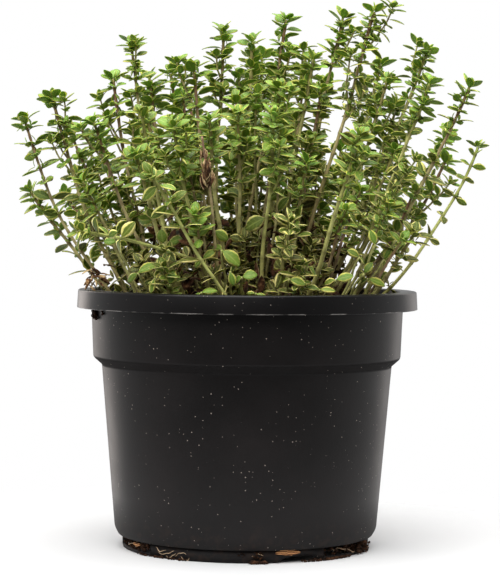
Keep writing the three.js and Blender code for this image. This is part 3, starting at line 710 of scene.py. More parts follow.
# A thyme leaf: a waxy skin over green flesh, which lets a little light through, and a cream margin where
# the flesh lacks green. It is satin, with a paler midrib and side veins. The dead ones are brown all through.
def variegated_leaf():
    made, tree, shader = add_finish("variegated thyme leaf", **{
        "IOR": 1.42, "Specular IOR Level": 0.28, "Subsurface Weight": 0.35, "Subsurface Scale": 0.0006,
        "Subsurface Radius": (0.8, 1.0, 0.3)})
    place = add_node(tree, "ShaderNodeTexCoord").outputs["Object"]
    tint = add_node(tree, "ShaderNodeAttribute", attribute_name="Leaf")
    part = add_node(tree, "ShaderNodeSeparateColor", {"Color": tint.outputs["Color"]})
    age, cream, chance = (part.outputs[k] for k in ("Red", "Green", "Blue"))
    map_uv = add_node(tree, "ShaderNodeUVMap", uv_map="Blade")
    flat = add_node(tree, "ShaderNodeSeparateXYZ", {"Vector": map_uv.outputs["UV"]})
    off = add_node(tree, "ShaderNodeMath", {0: flat.outputs["X"], 1: 0.5}, operation="SUBTRACT").outputs[0]
    off = add_node(tree, "ShaderNodeMath", {0: off}, operation="ABSOLUTE").outputs[0]
    across = add_node(tree, "ShaderNodeMath", {0: off, 1: 2.0}, operation="MULTIPLY").outputs[0]
    mottle = add_node(tree, "ShaderNodeTexNoise", {
        "Vector": place, "Scale": 620.0, "Detail": 2.0}).outputs["Fac"]
    # The green darkens and turns olive with age, from the tip down. Its dark old end is partly age and partly
    # painted shade for the low and inner leaves.
    green = add_ramp(tree, age, [(0.0, "#7c9b43"), (0.08, "#719238"), (0.3, "#647b2b"), (0.6, "#545e22"),
                                 (1.0, "#443f1b")])
    pale = add_ramp(tree, age, [(0.0, "#b4bd4c"), (0.15, "#cbc964"), (0.45, "#dcd480"), (1.0, "#b4a666")])
    # The margin is drawn wide enough to show: 0.25 mm on the greenest leaves and 0.9 mm on the creamiest.
    wander = add_node(tree, "ShaderNodeMapRange", {
        "Value": mottle, "From Min": 0.3, "From Max": 0.7, "To Min": -0.08, "To Max": 0.08}).outputs["Result"]
    begin = add_node(tree, "ShaderNodeMapRange", {
        "Value": cream, "To Min": 0.86, "To Max": 0.46}).outputs["Result"]
    edge = add_node(tree, "ShaderNodeMath", {0: across, 1: wander}, operation="ADD").outputs[0]
    edge = add_node(tree, "ShaderNodeMath", {0: edge, 1: begin}, operation="SUBTRACT").outputs[0]
    margin = add_node(tree, "ShaderNodeMapRange", {
        "Value": edge, "From Min": -0.04, "From Max": 0.08}).outputs["Result"]
    shade = add_node(tree, "ShaderNodeMix", {"Factor": margin, 6: green, 7: pale},
                     data_type="RGBA").outputs[2]
    # Five side veins on each half run out and forward from the midrib, 1.1 mm apart.
    slant = add_node(tree, "ShaderNodeMath", {0: across, 1: 0.2}, operation="MULTIPLY").outputs[0]
    slant = add_node(tree, "ShaderNodeMath", {0: flat.outputs["Y"], 1: slant},
                     operation="SUBTRACT").outputs[0]
    wave = add_node(tree, "ShaderNodeMath", {0: slant, 1: 5.5}, operation="MULTIPLY").outputs[0]
    wave = add_node(tree, "ShaderNodeMath", {0: wave, 1: 0.5}, operation="PINGPONG").outputs[0]
    vein = add_node(tree, "ShaderNodeMapRange", {
        "Value": wave, "From Min": 0.1, "From Max": 0.0, "To Max": 0.6}).outputs["Result"]
    rib = add_node(tree, "ShaderNodeMapRange", {
        "Value": across, "From Min": 0.16, "From Max": 0.0}).outputs["Result"]
    line = add_node(tree, "ShaderNodeMath", {0: vein, 1: rib}, operation="MAXIMUM").outputs[0]
    faint = add_node(tree, "ShaderNodeMath", {0: line, 1: 0.35}, operation="MULTIPLY").outputs[0]
    shade = add_node(tree, "ShaderNodeMix", {"Factor": faint, 6: shade, 7: paint("#b3bd66")},
                     data_type="RGBA").outputs[2]
    lighter = add_node(tree, "ShaderNodeMapRange", {
        "Value": chance, "To Min": 0.76, "To Max": 1.26}).outputs["Result"]
    # Some leaves are a little yellower than the rest and some bluer, by up to 4 degrees of hue.
    other = add_node(tree, "ShaderNodeMath", {0: chance, 1: 7.0}, operation="MULTIPLY").outputs[0]
    other = add_node(tree, "ShaderNodeMath", {0: other}, operation="FRACT").outputs[0]
    bluer = add_node(tree, "ShaderNodeMapRange", {
        "Value": other, "To Min": 0.489, "To Max": 0.511}).outputs["Result"]
    shade = add_node(tree, "ShaderNodeHueSaturation", {
        "Hue": bluer, "Value": lighter, "Color": shade}).outputs["Color"]
    brown = add_ramp(tree, mottle, [(0.35, "#4a2d1a"), (0.6, "#7d5633")])
    shade = add_node(tree, "ShaderNodeMix", {
        "Factor": tint.outputs["Alpha"], 6: shade, 7: brown}, data_type="RGBA").outputs[2]
    tree.links.new(shade, shader.inputs["Base Color"])
    rough = add_node(tree, "ShaderNodeMapRange", {
        "Value": age, "To Min": 0.4, "To Max": 0.6}).outputs["Result"]
    tree.links.new(rough, shader.inputs["Roughness"])
    relief = add_node(tree, "ShaderNodeMath", {0: mottle, 1: line}, operation="SUBTRACT").outputs[0]
    bump = add_node(tree, "ShaderNodeBump", {"Height": relief, "Strength": 0.3, "Distance": 0.0002})
    tree.links.new(bump.outputs["Normal"], shader.inputs["Normal"])
    return made


# A thyme stem: a downy green skin over wood. It is green at the bud, purple-brown where the sun has reached
# it, straw-coloured below, and grey-brown and woody at the root, with darker joints.
def thyme_stem():
    made, tree, shader = add_finish("thyme stem", **{
        "Roughness": 0.6, "IOR": 1.45, "Specular IOR Level": 0.3})
    place = add_node(tree, "ShaderNodeTexCoord").outputs["Object"]
    tint = add_node(tree, "ShaderNodeAttribute", attribute_name="Stem")
    part = add_node(tree, "ShaderNodeSeparateColor", {"Color": tint.outputs["Color"]})
    drop, sun, joint = (part.outputs[k] for k in ("Red", "Green", "Blue"))
    green = add_ramp(tree, drop, [(0.0, "#9fac54"), (0.3, "#c8d078"), (0.55, "#cccb78"), (0.85, "#8f8450"),
                                  (1.0, "#6f6239")])
    purple = add_ramp(tree, drop, [(0.0, "#949050"), (0.05, "#966e58"), (0.18, "#a88a70"), (0.34, "#b4a478"),
                                   (0.55, "#a89868"), (0.85, "#7a6944"), (1.0, "#5f4f33")])
    shade = add_node(tree, "ShaderNodeMix", {"Factor": sun, 6: green, 7: purple}, data_type="RGBA").outputs[2]
    dark = add_node(tree, "ShaderNodeMath", {0: joint, 1: 0.45}, operation="MULTIPLY").outputs[0]
    shade = add_node(tree, "ShaderNodeMix", {"Factor": dark, 6: shade, 7: paint("#472c20")},
                     data_type="RGBA").outputs[2]
    streak = add_node(tree, "ShaderNodeTexNoise", {
        "Vector": place, "Scale": 500.0, "Detail": 3.0}).outputs["Fac"]
    value = add_node(tree, "ShaderNodeMapRange", {
        "Value": streak, "From Min": 0.3, "From Max": 0.7, "To Min": 0.8, "To Max": 1.15}).outputs["Result"]
    shade = add_node(tree, "ShaderNodeHueSaturation", {"Value": value, "Color": shade}).outputs["Color"]
    tree.links.new(shade, shader.inputs["Base Color"])
    bump = add_node(tree, "ShaderNodeBump", {"Height": streak, "Strength": 0.3, "Distance": 0.0003})
    tree.links.new(bump.outputs["Normal"], shader.inputs["Normal"])
    return made


def mark(obj, name, values):
    """Keeps four numbers for each point of a mesh, for its material to read."""
    layer = obj.data.attributes.new(name, "FLOAT_COLOR", "POINT")
    layer.data.foreach_set("color", np.asarray(values, np.float32).ravel())


def lay_flat(obj, name, flat):
    """Keeps a place on the blade, across and along, for each corner of each face."""
    corners = np.empty(len(obj.data.loops), np.int32)
    obj.data.loops.foreach_get("vertex_index", corners)
    layer = obj.data.uv_layers.new(name=name)
    layer.uv.foreach_set("vector", flat[corners].astype(np.float32).ravel())


leaf_finish = variegated_leaf()
stem_finish = thyme_stem()


def joined(parts):
    """Several solids as one: all their points, and both groups of faces of each, numbered to match."""
    start = np.cumsum([0] + [len(part[0]) for part in parts])
    return (np.concatenate([part[0] for part in parts]),
            [part[k] + first for k in (1, 2) for part, first in zip(parts, start)])


def add_stems(name, parts, stands_for=()):
    """One piece of several stems, each with its hairs."""
    made = add_piece(name, *joined(parts), stem_finish, "thyme_stem", stands_for)
    mark(made, "Stem", np.concatenate([part[3] for part in parts]))


def add_leaves(name, sets, finish=leaf_finish, slot="thyme_leaf", stands_for=()):
    """One piece of many leaves: the big ones have finer blades than the rest."""
    leaves = {key: np.concatenate([one[key] for one in sets]) for key in sets[0]}
    big = leaves["length"] > BIG_LEAF
    fine = blades({key: value[big] for key, value in leaves.items()}, BIG_ROWS, 5)
    plain = blades({key: value[~big] for key, value in leaves.items()}, SMALL_ROWS, 3)
    start = len(fine[0])
    made = add_piece(name, np.concatenate([fine[0], plain[0]]),
                     [fine[1], plain[1] + start, fine[2], plain[2] + start], finish, slot, stands_for)
    mark(made, "Leaf", np.concatenate([fine[4], plain[4]]))
    lay_flat(made, "Blade", np.concatenate([fine[3], plain[3]]))


STEM_FOOT_RADIUS, STEM_TIP_RADIUS = 0.9, 0.5
TWIG_FOOT_RADIUS, TWIG_TIP_RADIUS = 0.4, 0.26
SHOOT_SWAY, TWIG_SWAY = 0.6, 0.2
# How far below the tip the pairs of leaves begin to thin out, on each side of the plant and on leggy shoots.
BARE_FROM = {"front": 15.0, "left": 26.0, "right": 28.0, "top": 21.0, "back": 21.0, "low": 21.0}
LEGGY_BARE_FROM = 90.0
# The leaves of a front shoot end this far below its tip. Where a tip is lower than this, the leaves look old:
# their darker colour is partly age and partly painted shade low in the bush.
FRONT_LEAFY, LOW_TIP = 46.0, 126
# The first and last pair of leaves that may carry a twig, and how far out the tip of such a shoot may be.
FIRST_TWIG, LAST_TWIG, OUTERMOST = 5, 14, 80
# These three grew fast in the shade of the rest: their joints are far apart and carry few leaves. For each,
# the spacing of its joints and the size of its leaves, where the other shoots have 1.3 and 1.
LEGGY = {"front_6": (1.5, 0.95), "front_7": (1.5, 0.9), "right_6": (2.6, 0.75)}

rows = [(f"{group}_{number}", group, row)
        for group, shoots in SHOOTS.items() for number, row in enumerate(shoots, 1)]
for index, (name, group, row) in enumerate(rows):
    draw = np.random.default_rng(100 + index)
    line = shoot_line(*row)
    phase = index * GOLDEN_ANGLE
    in_front, leggy = group == "front", name in LEGGY
    swing, sun = draw.uniform(0, 6), draw.uniform(0.35, 1.0)
    sun *= 0.6 if in_front else 1.0
    sun = np.sqrt(sun) if group == "left" else sun
    leafy = line_length(line) - ROOT_DEPTH - 3
    pitch, scale = LEGGY.get(name, (1.3, 1.0))
    bare_from = LEGGY_BARE_FROM if leggy else BARE_FROM[group]
    # Low shoots start with older, darker leaves: partly age, partly painted shade low in the bush.
    youth = 0.18 if leggy else 0.5 if row[2] < LOW_TIP else draw.uniform(0, 0.08)
    youth += 0.07 * in_front
    last = FRONT_LEAFY if in_front and not leggy else leafy
    sets = crossed_leaves(draw, line, phase, min(last, leafy), SHOOT_SWAY, swing, youth,
                          draw.uniform(0.15, 0.45), scale, pitch, tuft_chance=0.25 if leggy else 0.85,
                          bare_from=bare_from, loose=2.4 if leggy else 1.0)
    wide = STEM_FOOT_RADIUS * (1.0 if in_front and not leggy else 0.8)
    parts = [stem_part(draw, line, phase, wide, STEM_TIP_RADIUS, SHOOT_SWAY, swing,
                       0.1 if leggy else sun, pitch)]
    # The outermost shoots and the leggy ones carry no twigs.
    twigs = pair_drop(np.arange(FIRST_TWIG, LAST_TWIG + 1))
    twigs = twigs[(twigs < leafy - 6) & (not leggy and abs(row[0]) < OUTERMOST)]
    chance, lowest = (0.36, 130) if in_front else (0.48, 108)
    for pair, drop in enumerate(twigs, FIRST_TWIG):
        centre, along, first, second = (value[0] for value in walk(line, [drop], SHOOT_SWAY, swing))
        if draw.random() > chance or centre[2] < lowest:
            continue
        angle = np.radians(phase + 90 + 90 * (pair % 2 + 2 * draw.integers(2)) + draw.normal(0, 10))
        outward = turned(first, second, angle)
        length = draw.uniform(8, 20)
        middle = centre + (outward * 0.55 + along * 0.8) * length * 0.5
        twig = centre, middle, middle + (outward * 0.1 + along) * length * 0.55
        parts.append(stem_part(draw, twig, phase + 45, TWIG_FOOT_RADIUS, TWIG_TIP_RADIUS, TWIG_SWAY, swing,
                               sun * 0.6, 0.9, drop * 0.4))
        sets += crossed_leaves(draw, twig, phase + 45, line_length(twig) - 2, TWIG_SWAY, swing, drop / 150,
                               0.3, 0.8, 0.9, first_tuft=4)
    add_stems(f"stem_{name}", parts, [f"shoot_{name}"])
    add_leaves(f"leaves_{name}", sets, stands_for=[f"shoot_{name}"])

# ---- Young shoots ----------------------------------------------------------------------------------
# Thinner shoots of this year between the older ones, a little shorter than they are. They root on the same
# crown, and their rosettes show all over the bush.

YOUNG_GROUPS, YOUNG_EACH = 6, 7
YOUNG_SWAY, YOUNG_PITCH = 0.9, 1.15

for group in range(YOUNG_GROUPS):
    parts, sets = [], []
    for index in range(group * YOUNG_EACH, (group + 1) * YOUNG_EACH):
        draw = np.random.default_rng(500 + index)
        angle = np.radians(-88 + index * GOLDEN_ANGLE)
        reach = draw.uniform(24, 64)
        height = 182 - 0.011 * reach ** 2 - draw.uniform(0, 31)
        line = shoot_line(reach * np.sin(angle) * 1.15, -reach * np.cos(angle) * 0.95, height)
        phase, swing, sun = draw.uniform(0, 360), draw.uniform(0, 6), draw.uniform(0.2, 1.0)
        parts.append(stem_part(draw, line, phase, 0.6, 0.42, YOUNG_SWAY, swing, sun, YOUNG_PITCH))
        last = min(draw.uniform(28, 46), height - (116 if np.cos(angle) > 0.3 else 104))
        sets += crossed_leaves(draw, line, phase, last, YOUNG_SWAY, swing, draw.uniform(0, 0.12),
                               draw.uniform(0.15, 0.5), 0.92, YOUNG_PITCH, 0.8, bare_from=14.0)
    add_stems(f"young_stems_{group + 1}", parts)
    add_leaves(f"young_leaves_{group + 1}", sets)

# ---- Inner growth ----------------------------------------------------------------------------------
# Shorter, thinner shoots of the same thyme, which never reached the light: they fill the middle of the bush
# from the crown up. Their leaves are small, dull and widely edged with cream, and some have died. Their old,
# dark colour is partly their age and partly painted shade for the middle of the bush.

SECTORS, SECTOR_ANGLE, INNER_EACH, INNER_SWAY = 6, 60, 9, 0.5

draw = np.random.default_rng(7)
for sector in range(SECTORS):
    parts, sets = [], []
    for number in range(INNER_EACH):
        angle = np.radians(sector * SECTOR_ANGLE + number * SECTOR_ANGLE / INNER_EACH + draw.normal(0, 6))
        out = np.array([np.sin(angle), -np.cos(angle)])
        near = (28 + 10 * abs(out[0])) * np.sqrt(draw.uniform(0.02, 1))
        height = draw.uniform(98, 130) - 0.2 * near
        foot = np.array([*(out * near), ROOT_LEVEL + 6])
        far = min(33 + 13 * abs(out[0]), near * draw.uniform(1.05, 1.5))
        tip = np.array([*(out * far + draw.normal(0, 3, 2)), height])
        line = foot, (foot + tip) / 2 + draw.normal(0, 3, 3), tip
        phase = draw.uniform(0, 360)
        parts.append(stem_part(draw, line, phase, 0.5, 0.3, INNER_SWAY, phase, draw.uniform(0, 0.7), 1.0,
                               first_drop=45, hairs=1))
        # A youth of 0.8 gives these leaves the dark old end of the leaf colours: partly age, partly painted
        # shade.
        sets += crossed_leaves(draw, line, phase, line_length(line) - 4, INNER_SWAY, phase, 0.8, 0.1, 0.85,
                               1.0, 0.6, bare_from=18.0)
    add_stems(f"inner_stems_{sector + 1}", parts)
    add_leaves(f"inner_leaves_{sector + 1}", sets)

# ---- Old leaves low on the front -------------------------------------------------------------------
# The lowest leaves of the plant: broad, green and widely edged with cream. Each pair ends a thin twig that
# grew from the crown towards the light. Its outer leaf faces the front, and some hang over the rim.

# Each row is the outer leaf of a pair: the place of its middle (across, depth, height), the direction of its
# tip in degrees up from +X, its length and width, how far its face leans up in degrees, and its cream.
OLD_LEAVES = [
    (-5.8, -52, 111.0, -38, 9.0, 5.2, 25, 0.35),
    (-14.0, -50, 112.0, 35, 5.2, 4.0, 35, 0.5),
    (-5.5, -53, 103.5, -75, 5.4, 3.6, 10, 0.6),
    (0.6, -52, 105.0, 20, 5.4, 4.4, 30, 0.4),
    (-13.6, -56, 99.0, 10, 5.8, 3.4, 40, 0.3),
    (18.0, -55, 103.2, -8, 6.0, 3.7, 30, 0.9),
    (19.5, -52, 109.6, 150, 5.4, 4.0, 30, 0.5),
    (-27.5, -53, 103.9, 80, 5.2, 4.8, 20, 0.3),
    (-36.0, -50, 107.0, 28, 7.8, 4.4, 35, 0.4),
    (-34.5, -55, 100.4, -112, 6.6, 3.0, 15, 1.0),
    (-9.2, -50, 119.0, -32, 6.8, 4.8, 15, 0.1),
    (-31.0, -48, 118.5, 100, 5.6, 5.0, 10, 0.0),
    (-50.5, -42, 116.5, 175, 5.6, 4.4, 30, 0.1),
    (5.2, -54, 97.5, -20, 4.6, 2.8, 40, 0.4),
    (35.0, -50, 104.0, 12, 6.6, 4.0, 35, 0.6),
    (44.0, -40, 108.0, 60, 5.8, 3.8, 30, 0.5),
    (38.0, -46, 113.0, 150, 5.6, 3.6, 25, 0.8),
    (47.0, -37, 102.5, -20, 6.4, 3.8, 30, 0.7),
    (51.0, -33, 113.0, 70, 5.4, 3.4, 20, 0.9),
    (55.0, -28, 107.0, 25, 6.2, 3.6, 35, 0.6),
    (45.5, -42, 118.5, 110, 5.2, 3.4, 15, 0.8),
    (29.0, -50, 99.5, -5, 6.0, 3.8, 35, 0.8),
    (57.5, -22, 116.5, -30, 5.6, 3.2, 30, 0.5),
]
across, depth, height, turn, length, width, lean, cream = np.array(OLD_LEAVES).T
ahead = turned([1.0, 0, 0], [0, 0, 1.0], np.radians(turn)[:, None])
face = turned([0, -1.0, 0], [0, 0, 1.0], np.radians(lean)[:, None])
face = unit(face - (face * ahead).sum(1)[:, None] * ahead)
foot = np.stack([across, depth, height], -1) - 0.5 * length[:, None] * ahead
plump = width / length
draw = np.random.default_rng(17)
outer = leaf_set(draw, foot, ahead, face, 0.0, length, plump, 0.2, cream, loose=0.4)
inner = leaf_set(draw, foot, -ahead, face, -30.0, 0.8 * length, plump, 0.35, cream, loose=2.0)
add_leaves("old_leaves", [outer, inner])
parts = []
for end in foot:
    crown = end * [0.8, 0.7, 0] + [0, 0, 88]
    bend = (crown + end) / 2 + [0, -1.5, 3]
    parts.append(stem_part(draw, (crown, bend, end), 45, 0.5, 0.34, 0.5, end[0], 0.3, 1.6, 30))
add_stems("old_twigs", parts)

# ---- Dead leaves -----------------------------------------------------------------------------------
# Leaves that died in the shade, and the withered head of one shoot. They have shrivelled where they grew or
# have fallen on the peat, and are brown, brittle and dull. Many dark ones are packed low in the middle of the
# bush as painted shade.


# A dead thyme leaf: dry cellulose, matt, from dark chestnut to straw.
def dead_leaf():
    made, tree, shader = add_finish("dead thyme leaf", **{
        "Roughness": 0.85, "IOR": 1.45, "Specular IOR Level": 0.2})
    place = add_node(tree, "ShaderNodeTexCoord").outputs["Object"]
    tint = add_node(tree, "ShaderNodeAttribute", attribute_name="Leaf")
    chance = add_node(tree, "ShaderNodeSeparateColor", {"Color": tint.outputs["Color"]}).outputs["Blue"]
    fibre = add_node(tree, "ShaderNodeTexNoise", {
        "Vector": place, "Scale": 700.0, "Detail": 3.0}).outputs["Fac"]
    mixed = add_node(tree, "ShaderNodeMath", {0: chance, 1: 0.48, 2: fibre},
                     operation="MULTIPLY_ADD").outputs[0]
    shade = add_ramp(tree, mixed, [(0.45, "#2a1a11"), (0.65, "#583823"), (0.8, "#8c6a47"), (0.95, "#c2a87c")])
    # What was the cream margin stays paler than the rest.
    map_uv = add_node(tree, "ShaderNodeUVMap", uv_map="Blade")
    flat = add_node(tree, "ShaderNodeSeparateXYZ", {"Vector": map_uv.outputs["UV"]})
    off = add_node(tree, "ShaderNodeMath", {0: flat.outputs["X"], 1: 0.5}, operation="SUBTRACT").outputs[0]
    off = add_node(tree, "ShaderNodeMath", {0: off}, operation="ABSOLUTE").outputs[0]
    margin = add_node(tree, "ShaderNodeMapRange", {
        "Value": off, "From Min": 0.34, "From Max": 0.46}).outputs["Result"]
    margin = add_node(tree, "ShaderNodeMath", {0: margin, 1: chance}, operation="MULTIPLY").outputs[0]
    shade = add_node(tree, "ShaderNodeMix", {"Factor": margin, 6: shade, 7: paint("#cdb98e")},
                     data_type="RGBA").outputs[2]
    tree.links.new(shade, shader.inputs["Base Color"])
    bump = add_node(tree, "ShaderNodeBump", {"Height": fibre, "Strength": 0.6, "Distance": 0.0003})
    tree.links.new(bump.outputs["Normal"], shader.inputs["Normal"])
    return made


dead_finish = dead_leaf()
up = np.array([0.0, 0, 1])
HEAD_LEAVES, TUFT_LEAVES, PAINTED_SHADE_LEAVES, FALLEN_LEAVES = 84, 26, 800, 90


def sideways(draw, count):
    """Level unit vectors in random directions."""
    angle = draw.uniform(0, 2 * np.pi, count)
    return np.stack([np.cos(angle), np.sin(angle), 0 * angle], -1)


# The withered head: leaves that hang close round its axis. They are longer and stand further out towards its
# lower end, where they point back in, so that it is a spindle.
draw = np.random.default_rng(21)
head_line = np.array([-8.0, -36, 84]), np.array([-11.0, -54, 116]), np.array([-16.5, -61, 154])
add_stems("withered_stem", [stem_part(draw, head_line, 0, 0.7, 0.35, 0.4, 1.0, 1.0, 1.0, 12)])
share = draw.random(HEAD_LEAVES)[:, None] ** 0.7
out = sideways(draw, HEAD_LEAVES)
root = walk(head_line, 3.5 + 11.5 * share[:, 0], 0.4, 1.0)[0] + out * (0.6 + 2.3 * share)
withered = leaf_set(draw, root, out, up + 0 * out, -72 - 40 * share[:, 0], 2.6 + 2.2 * share[:, 0], 0.5, 0.9,
                    0.5, 0.5, 1.2)
add_leaves("withered_head", [withered], dead_finish, "dry_leaf")

# A dead tuft that leans on the rim, dark dead leaves packed low among the stems as painted shade, and leaves
# that lie on the peat.
out = sideways(draw, TUFT_LEAVES)
root = np.array([-57.0, -19, 103]) + draw.normal(0, (1.6, 1.6, 2.2), (TUFT_LEAVES, 3))
tuft = leaf_set(draw, root, out, up + 0 * out, -20.0, draw.uniform(3.5, 6, TUFT_LEAVES), 0.5, 0.9, 0.5, 0.5,
                3.0)
out = sideways(draw, PAINTED_SHADE_LEAVES)
reach = 40 * np.sqrt(draw.random((PAINTED_SHADE_LEAVES, 1)))
root = out[::-1] * reach + up * (92 + 34 * draw.random((PAINTED_SHADE_LEAVES, 1)) ** 1.7 - 0.1 * reach)
painted_shade_leaves = leaf_set(draw, root, out, up + 0 * out, -15.0, draw.uniform(4.5, 8, PAINTED_SHADE_LEAVES), 0.55, 0.9, 0.5,
                  0.2, 4.0)
# These are darkened towards the darkest browns of the dead leaf, with little pale margin: painted shade in
# the core of the bush.
painted_shade_leaves["tint"][:, 2] *= 0.35
out = sideways(draw, FALLEN_LEAVES)
reach = 56 * np.sqrt(draw.random((FALLEN_LEAVES, 1)))
root = out[::-1] * reach
root[:, 2] = peat_height(root[:, 0], root[:, 1]) + 0.8
fallen = leaf_set(draw, root, out, up + 0 * out, 0.0, draw.uniform(4, 7, FALLEN_LEAVES), 0.5, 0.9, 0.5, 0.1,
                  0.7)
fallen["tint"][:, 2] *= 0.6
add_leaves("dead_leaves_and_painted_shade", [tuft, painted_shade_leaves, fallen], dead_finish, "dry_leaf")

# ---- Peat, roots and bark at the foot --------------------------------------------------------------
# Crumbs of peat and fine roots have worked out through the drain slots and dried on the foot ring, with
# splinters of the pine bark that was mixed into the peat. Only damp and friction hold them.

# Each row is a patch of crumbs: from and to which angle, radius and height, how many, and how large.
PATCHES = [
    (-80, -50, 45.4, 47.0, 1.4, 4.4, 90, 1.0),
    (-56, -26, 47.3, 48.3, 0.2, 0.6, 80, 0.8),
    (-60, -48, 46.9, 47.6, 1.0, 4.2, 26, 1.0),
    (40, 72, 45.4, 47.0, 1.4, 4.4, 90, 1.0),
    (26, 54, 47.3, 48.5, 0.2, 0.7, 90, 0.9),
    (60, 74, 47.2, 49.2, 0.4, 4.4, 50, 1.1),
    (2, 10, 47.6, 49.6, 0.3, 0.9, 50, 1.0),
    (4, 8, 46.9, 47.5, 1.6, 4.4, 22, 0.8),
    (-3, 0, 46.9, 47.4, 2.2, 4.0, 9, 0.7),
    (158, 192, 45.4, 47.2, 1.4, 4.4, 90, 1.0),
    (-76, -70, 59.4, 60.3, 87.4, 90.8, 40, 1.1),
    (-65, -63, 59.4, 59.8, 89.0, 90.8, 8, 0.7),
]
draw = np.random.default_rng(31)
places, sizes = [], []
for low_angle, high_angle, inner, outer, bottom, top, count, largest in PATCHES:
    places.append(ring_place(draw.uniform(low_angle, high_angle, count), draw.uniform(inner, outer, count),
                             draw.uniform(bottom, top, count)))
    sizes.append(largest * draw.uniform(0.35, 1.0, count))
points, faces = crumbs(np.concatenate(places), np.concatenate(sizes), 32)
points[:, 2] = np.maximum(points[:, 2], 0.02)
add_piece("foot_crumbs", points, [faces], peat_finish, "peat")


# A fine root: pale, smooth and a little translucent when alive, and straw-coloured once it has dried.
def dry_root():
    made, tree, shader = add_finish("dried thyme root", **{"Roughness": 0.6, "IOR": 1.45})
    place = add_node(tree, "ShaderNodeTexCoord").outputs["Object"]
    stain = add_node(tree, "ShaderNodeTexNoise", {"Vector": place, "Scale": 300.0}).outputs["Fac"]
    tree.links.new(add_ramp(tree, stain, [(0.35, "#8a6a4c"), (0.6, "#cdb392")]), shader.inputs["Base Color"])
    return made


def rod(path, radius, sides=6):
    """A closed rod along a path of points, with a radius at each: its first direction across is level."""
    along = unit(np.gradient(path, axis=0))
    first = np.cross(along, up)
    first /= np.linalg.norm(first, axis=1)[:, None] + 1e-9
    return square_tube(path, first, np.cross(along, first), radius, 0, sides)


# Each row is a root: the angle it starts at, the degrees it runs round the ring, its height and its radius
# from the axis. It strays from that line in a sum of two waves.
ROOTS = [
    (-72, 10, 2.6, 46.6), (-66, 12, 3.6, 46.9), (-45, 7, 3.4, 47.3), (-42, 9, 2.4, 47.4),
    (-37, 5, 1.6, 47.6), (-33, 6, 2.2, 47.4), (-29, 4, 1.0, 47.8), (3, 5, 3.0, 47.3),
    (44, 12, 2.8, 46.8), (52, 9, 1.8, 47.0), (166, 14, 2.4, 46.9),
]
draw = np.random.default_rng(41)
parts = []
for angle, run, height, radius in ROOTS:
    t = np.linspace(0, 1, 16)
    a, b = draw.uniform(0, 6, 2)
    path = ring_place(angle + run * t, radius + 0.4 * np.sin(5 * t + a),
                      np.maximum(0.3, height + 0.8 * np.sin(4 * t + b) + 0.2 * np.sin(11 * t + a)))
    parts.append(rod(path, 0.07 + 0.06 * np.sin(np.pi * t)))
add_piece("foot_roots", *joined(parts), dry_root(), "thyme_stem")


# Pine bark: corky orange-brown plates with darker layers 0.3 mm apart, and a matt broken surface.
def pine_bark():
    made, tree, shader = add_finish("pine bark", **{"Roughness": 0.9, "IOR": 1.45})
    place = add_node(tree, "ShaderNodeTexCoord").outputs["Object"]
    layers = add_node(tree, "ShaderNodeTexWave", {
        "Vector": place, "Scale": 500.0, "Distortion": 4.0, "Detail": 2.0},
        bands_direction="Z").outputs["Fac"]
    shade = add_ramp(tree, layers, [(0.1, "#5a3320"), (0.5, "#9a6237"), (0.9, "#c69460")])
    tree.links.new(shade, shader.inputs["Base Color"])
    bump = add_node(tree, "ShaderNodeBump", {"Height": layers, "Strength": 0.5, "Distance": 0.0003})
    tree.links.new(bump.outputs["Normal"], shader.inputs["Normal"])
    return made


# Three splinters lie against the ring: rods that are thick in the middle, with ragged sides.
chips = []
for angle, run, height, thick in ((13.5, 11.5, 3.7, 0.85), (15.5, 7.0, 4.7, 0.5), (-61, 6.0, 3.4, 0.7)):
    t = np.linspace(0, 1, 14)
    path = ring_place(angle + run * t, 47.55 + 0 * t, height + 0.15 * np.sin(9 * t))
    chips.append(rod(path, thick * (0.35 + 0.65 * np.sin(np.pi * t) ** 0.4) * draw.uniform(0.75, 1.1, 14)))
add_piece("bark_chips", *joined(chips), pine_bark(), "peat")

# ---- Stage, light and camera -----------------------------------------------------------------------
# The pot stands on a round white sheet, which fades into a white studio. A tall softbox stands behind it on
# either side, one broad one hangs above it and another above the camera, which is 0.84 m away.


def white_sheet():
    """Matt white card, which turns clear between 0.07 and 0.2 m from the middle: a smooth step."""
    made, tree, shader = add_finish("matt white card", **{
        "Base Color": paint("#cecece"), "Roughness": 0.9, "Specular IOR Level": 0.2})
    place = add_node(tree, "ShaderNodeTexCoord").outputs["Object"]
    reach = add_node(tree, "ShaderNodeVectorMath", {0: place}, operation="LENGTH").outputs["Value"]
    fade = add_node(tree, "ShaderNodeMapRange", {
        "Value": reach, "From Min": 0.07, "From Max": 0.2, "To Min": 1.0, "To Max": 0.0},
        interpolation_type="SMOOTHSTEP").outputs["Result"]
    tree.links.new(fade, shader.inputs["Alpha"])
    return made


SHEET_RADIUS, LIT_HEIGHT = 0.22, 0.11
turn = np.radians(np.arange(0, 360, 5))
sheet = np.stack([np.cos(turn), np.sin(turn), 0 * turn], -1) * SHEET_RADIUS
floor_mesh = bpy.data.meshes.new("floor")
floor_mesh.from_pydata(sheet.tolist(), [], [list(range(len(turn)))])
floor_mesh.materials.append(white_sheet())
floor = bpy.data.objects.new("floor", floor_mesh)
bpy.context.scene.collection.objects.link(floor)


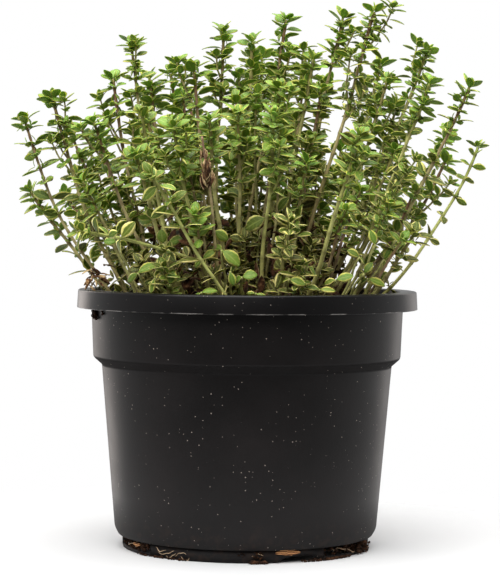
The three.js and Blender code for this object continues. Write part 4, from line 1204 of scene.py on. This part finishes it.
def add_softbox(name, place, size, power, tint="#ffffff"):
    """A rectangular area light at a place in metres, turned to face the middle of the plant."""
    light = bpy.data.lights.new(name, "AREA")
    light.color = paint(tint)[:3]
    light.shape = "RECTANGLE"
    light.size, light.size_y = size
    light.energy = power
    made = bpy.data.objects.new(name, light)
    made.location = place
    x, y, z = np.array([0, 0, LIT_HEIGHT]) - place
    made.rotation_euler = (np.arctan2(np.hypot(x, y), -z), 0, np.arctan2(-x, y))
    bpy.context.scene.collection.objects.link(made)


add_softbox("softbox_left", (-0.65, 0.9, 0.3), (0.4, 1.2), 3.0, "#fff2ea")
add_softbox("softbox_right", (0.65, 0.9, 0.3), (0.4, 1.2), 1.1, "#fff2ea")
add_softbox("softbox_above", (-0.3, -0.75, 0.95), (1.4, 1.0), 18)
add_softbox("softbox_top", (0.1, -0.05, 1.3), (1.4, 1.4), 22)

world = bpy.data.worlds.new("white studio")
bpy.context.scene.world = world
world.use_nodes = True
tree = world.node_tree
tree.nodes.clear()
# What the camera sees is plain white. What lights the plant is brightest behind it, and dim in front.
way = add_node(tree, "ShaderNodeTexCoord").outputs["Generated"]
depth = add_node(tree, "ShaderNodeSeparateXYZ", {"Vector": way}).outputs["Y"]
behind = add_node(tree, "ShaderNodeMapRange", {
    "Value": depth, "From Min": -0.95, "From Max": 0.35, "To Min": 0.12, "To Max": 0.7}).outputs["Result"]
seen = add_node(tree, "ShaderNodeLightPath").outputs["Is Camera Ray"]
strength = add_node(tree, "ShaderNodeMath", {0: seen, 1: behind}, operation="MAXIMUM").outputs[0]
glow = add_node(tree, "ShaderNodeBackground", {"Color": (1, 1, 1, 1), "Strength": strength})
add_node(tree, "ShaderNodeOutputWorld", {"Surface": glow.outputs["Background"]})

camera_lens = bpy.data.cameras.new("camera")
camera_lens.lens = 137.5
camera_lens.sensor_width = 36.0
camera = bpy.data.objects.new("camera", camera_lens)
camera.location = (0.00076, -0.843, 0.1239)
camera.rotation_euler = (np.radians(90 - 1.73), np.radians(-0.5), 0)
bpy.context.scene.collection.objects.link(camera)
bpy.context.scene.camera = camera
bpy.context.scene.view_settings.view_transform = "Standard"
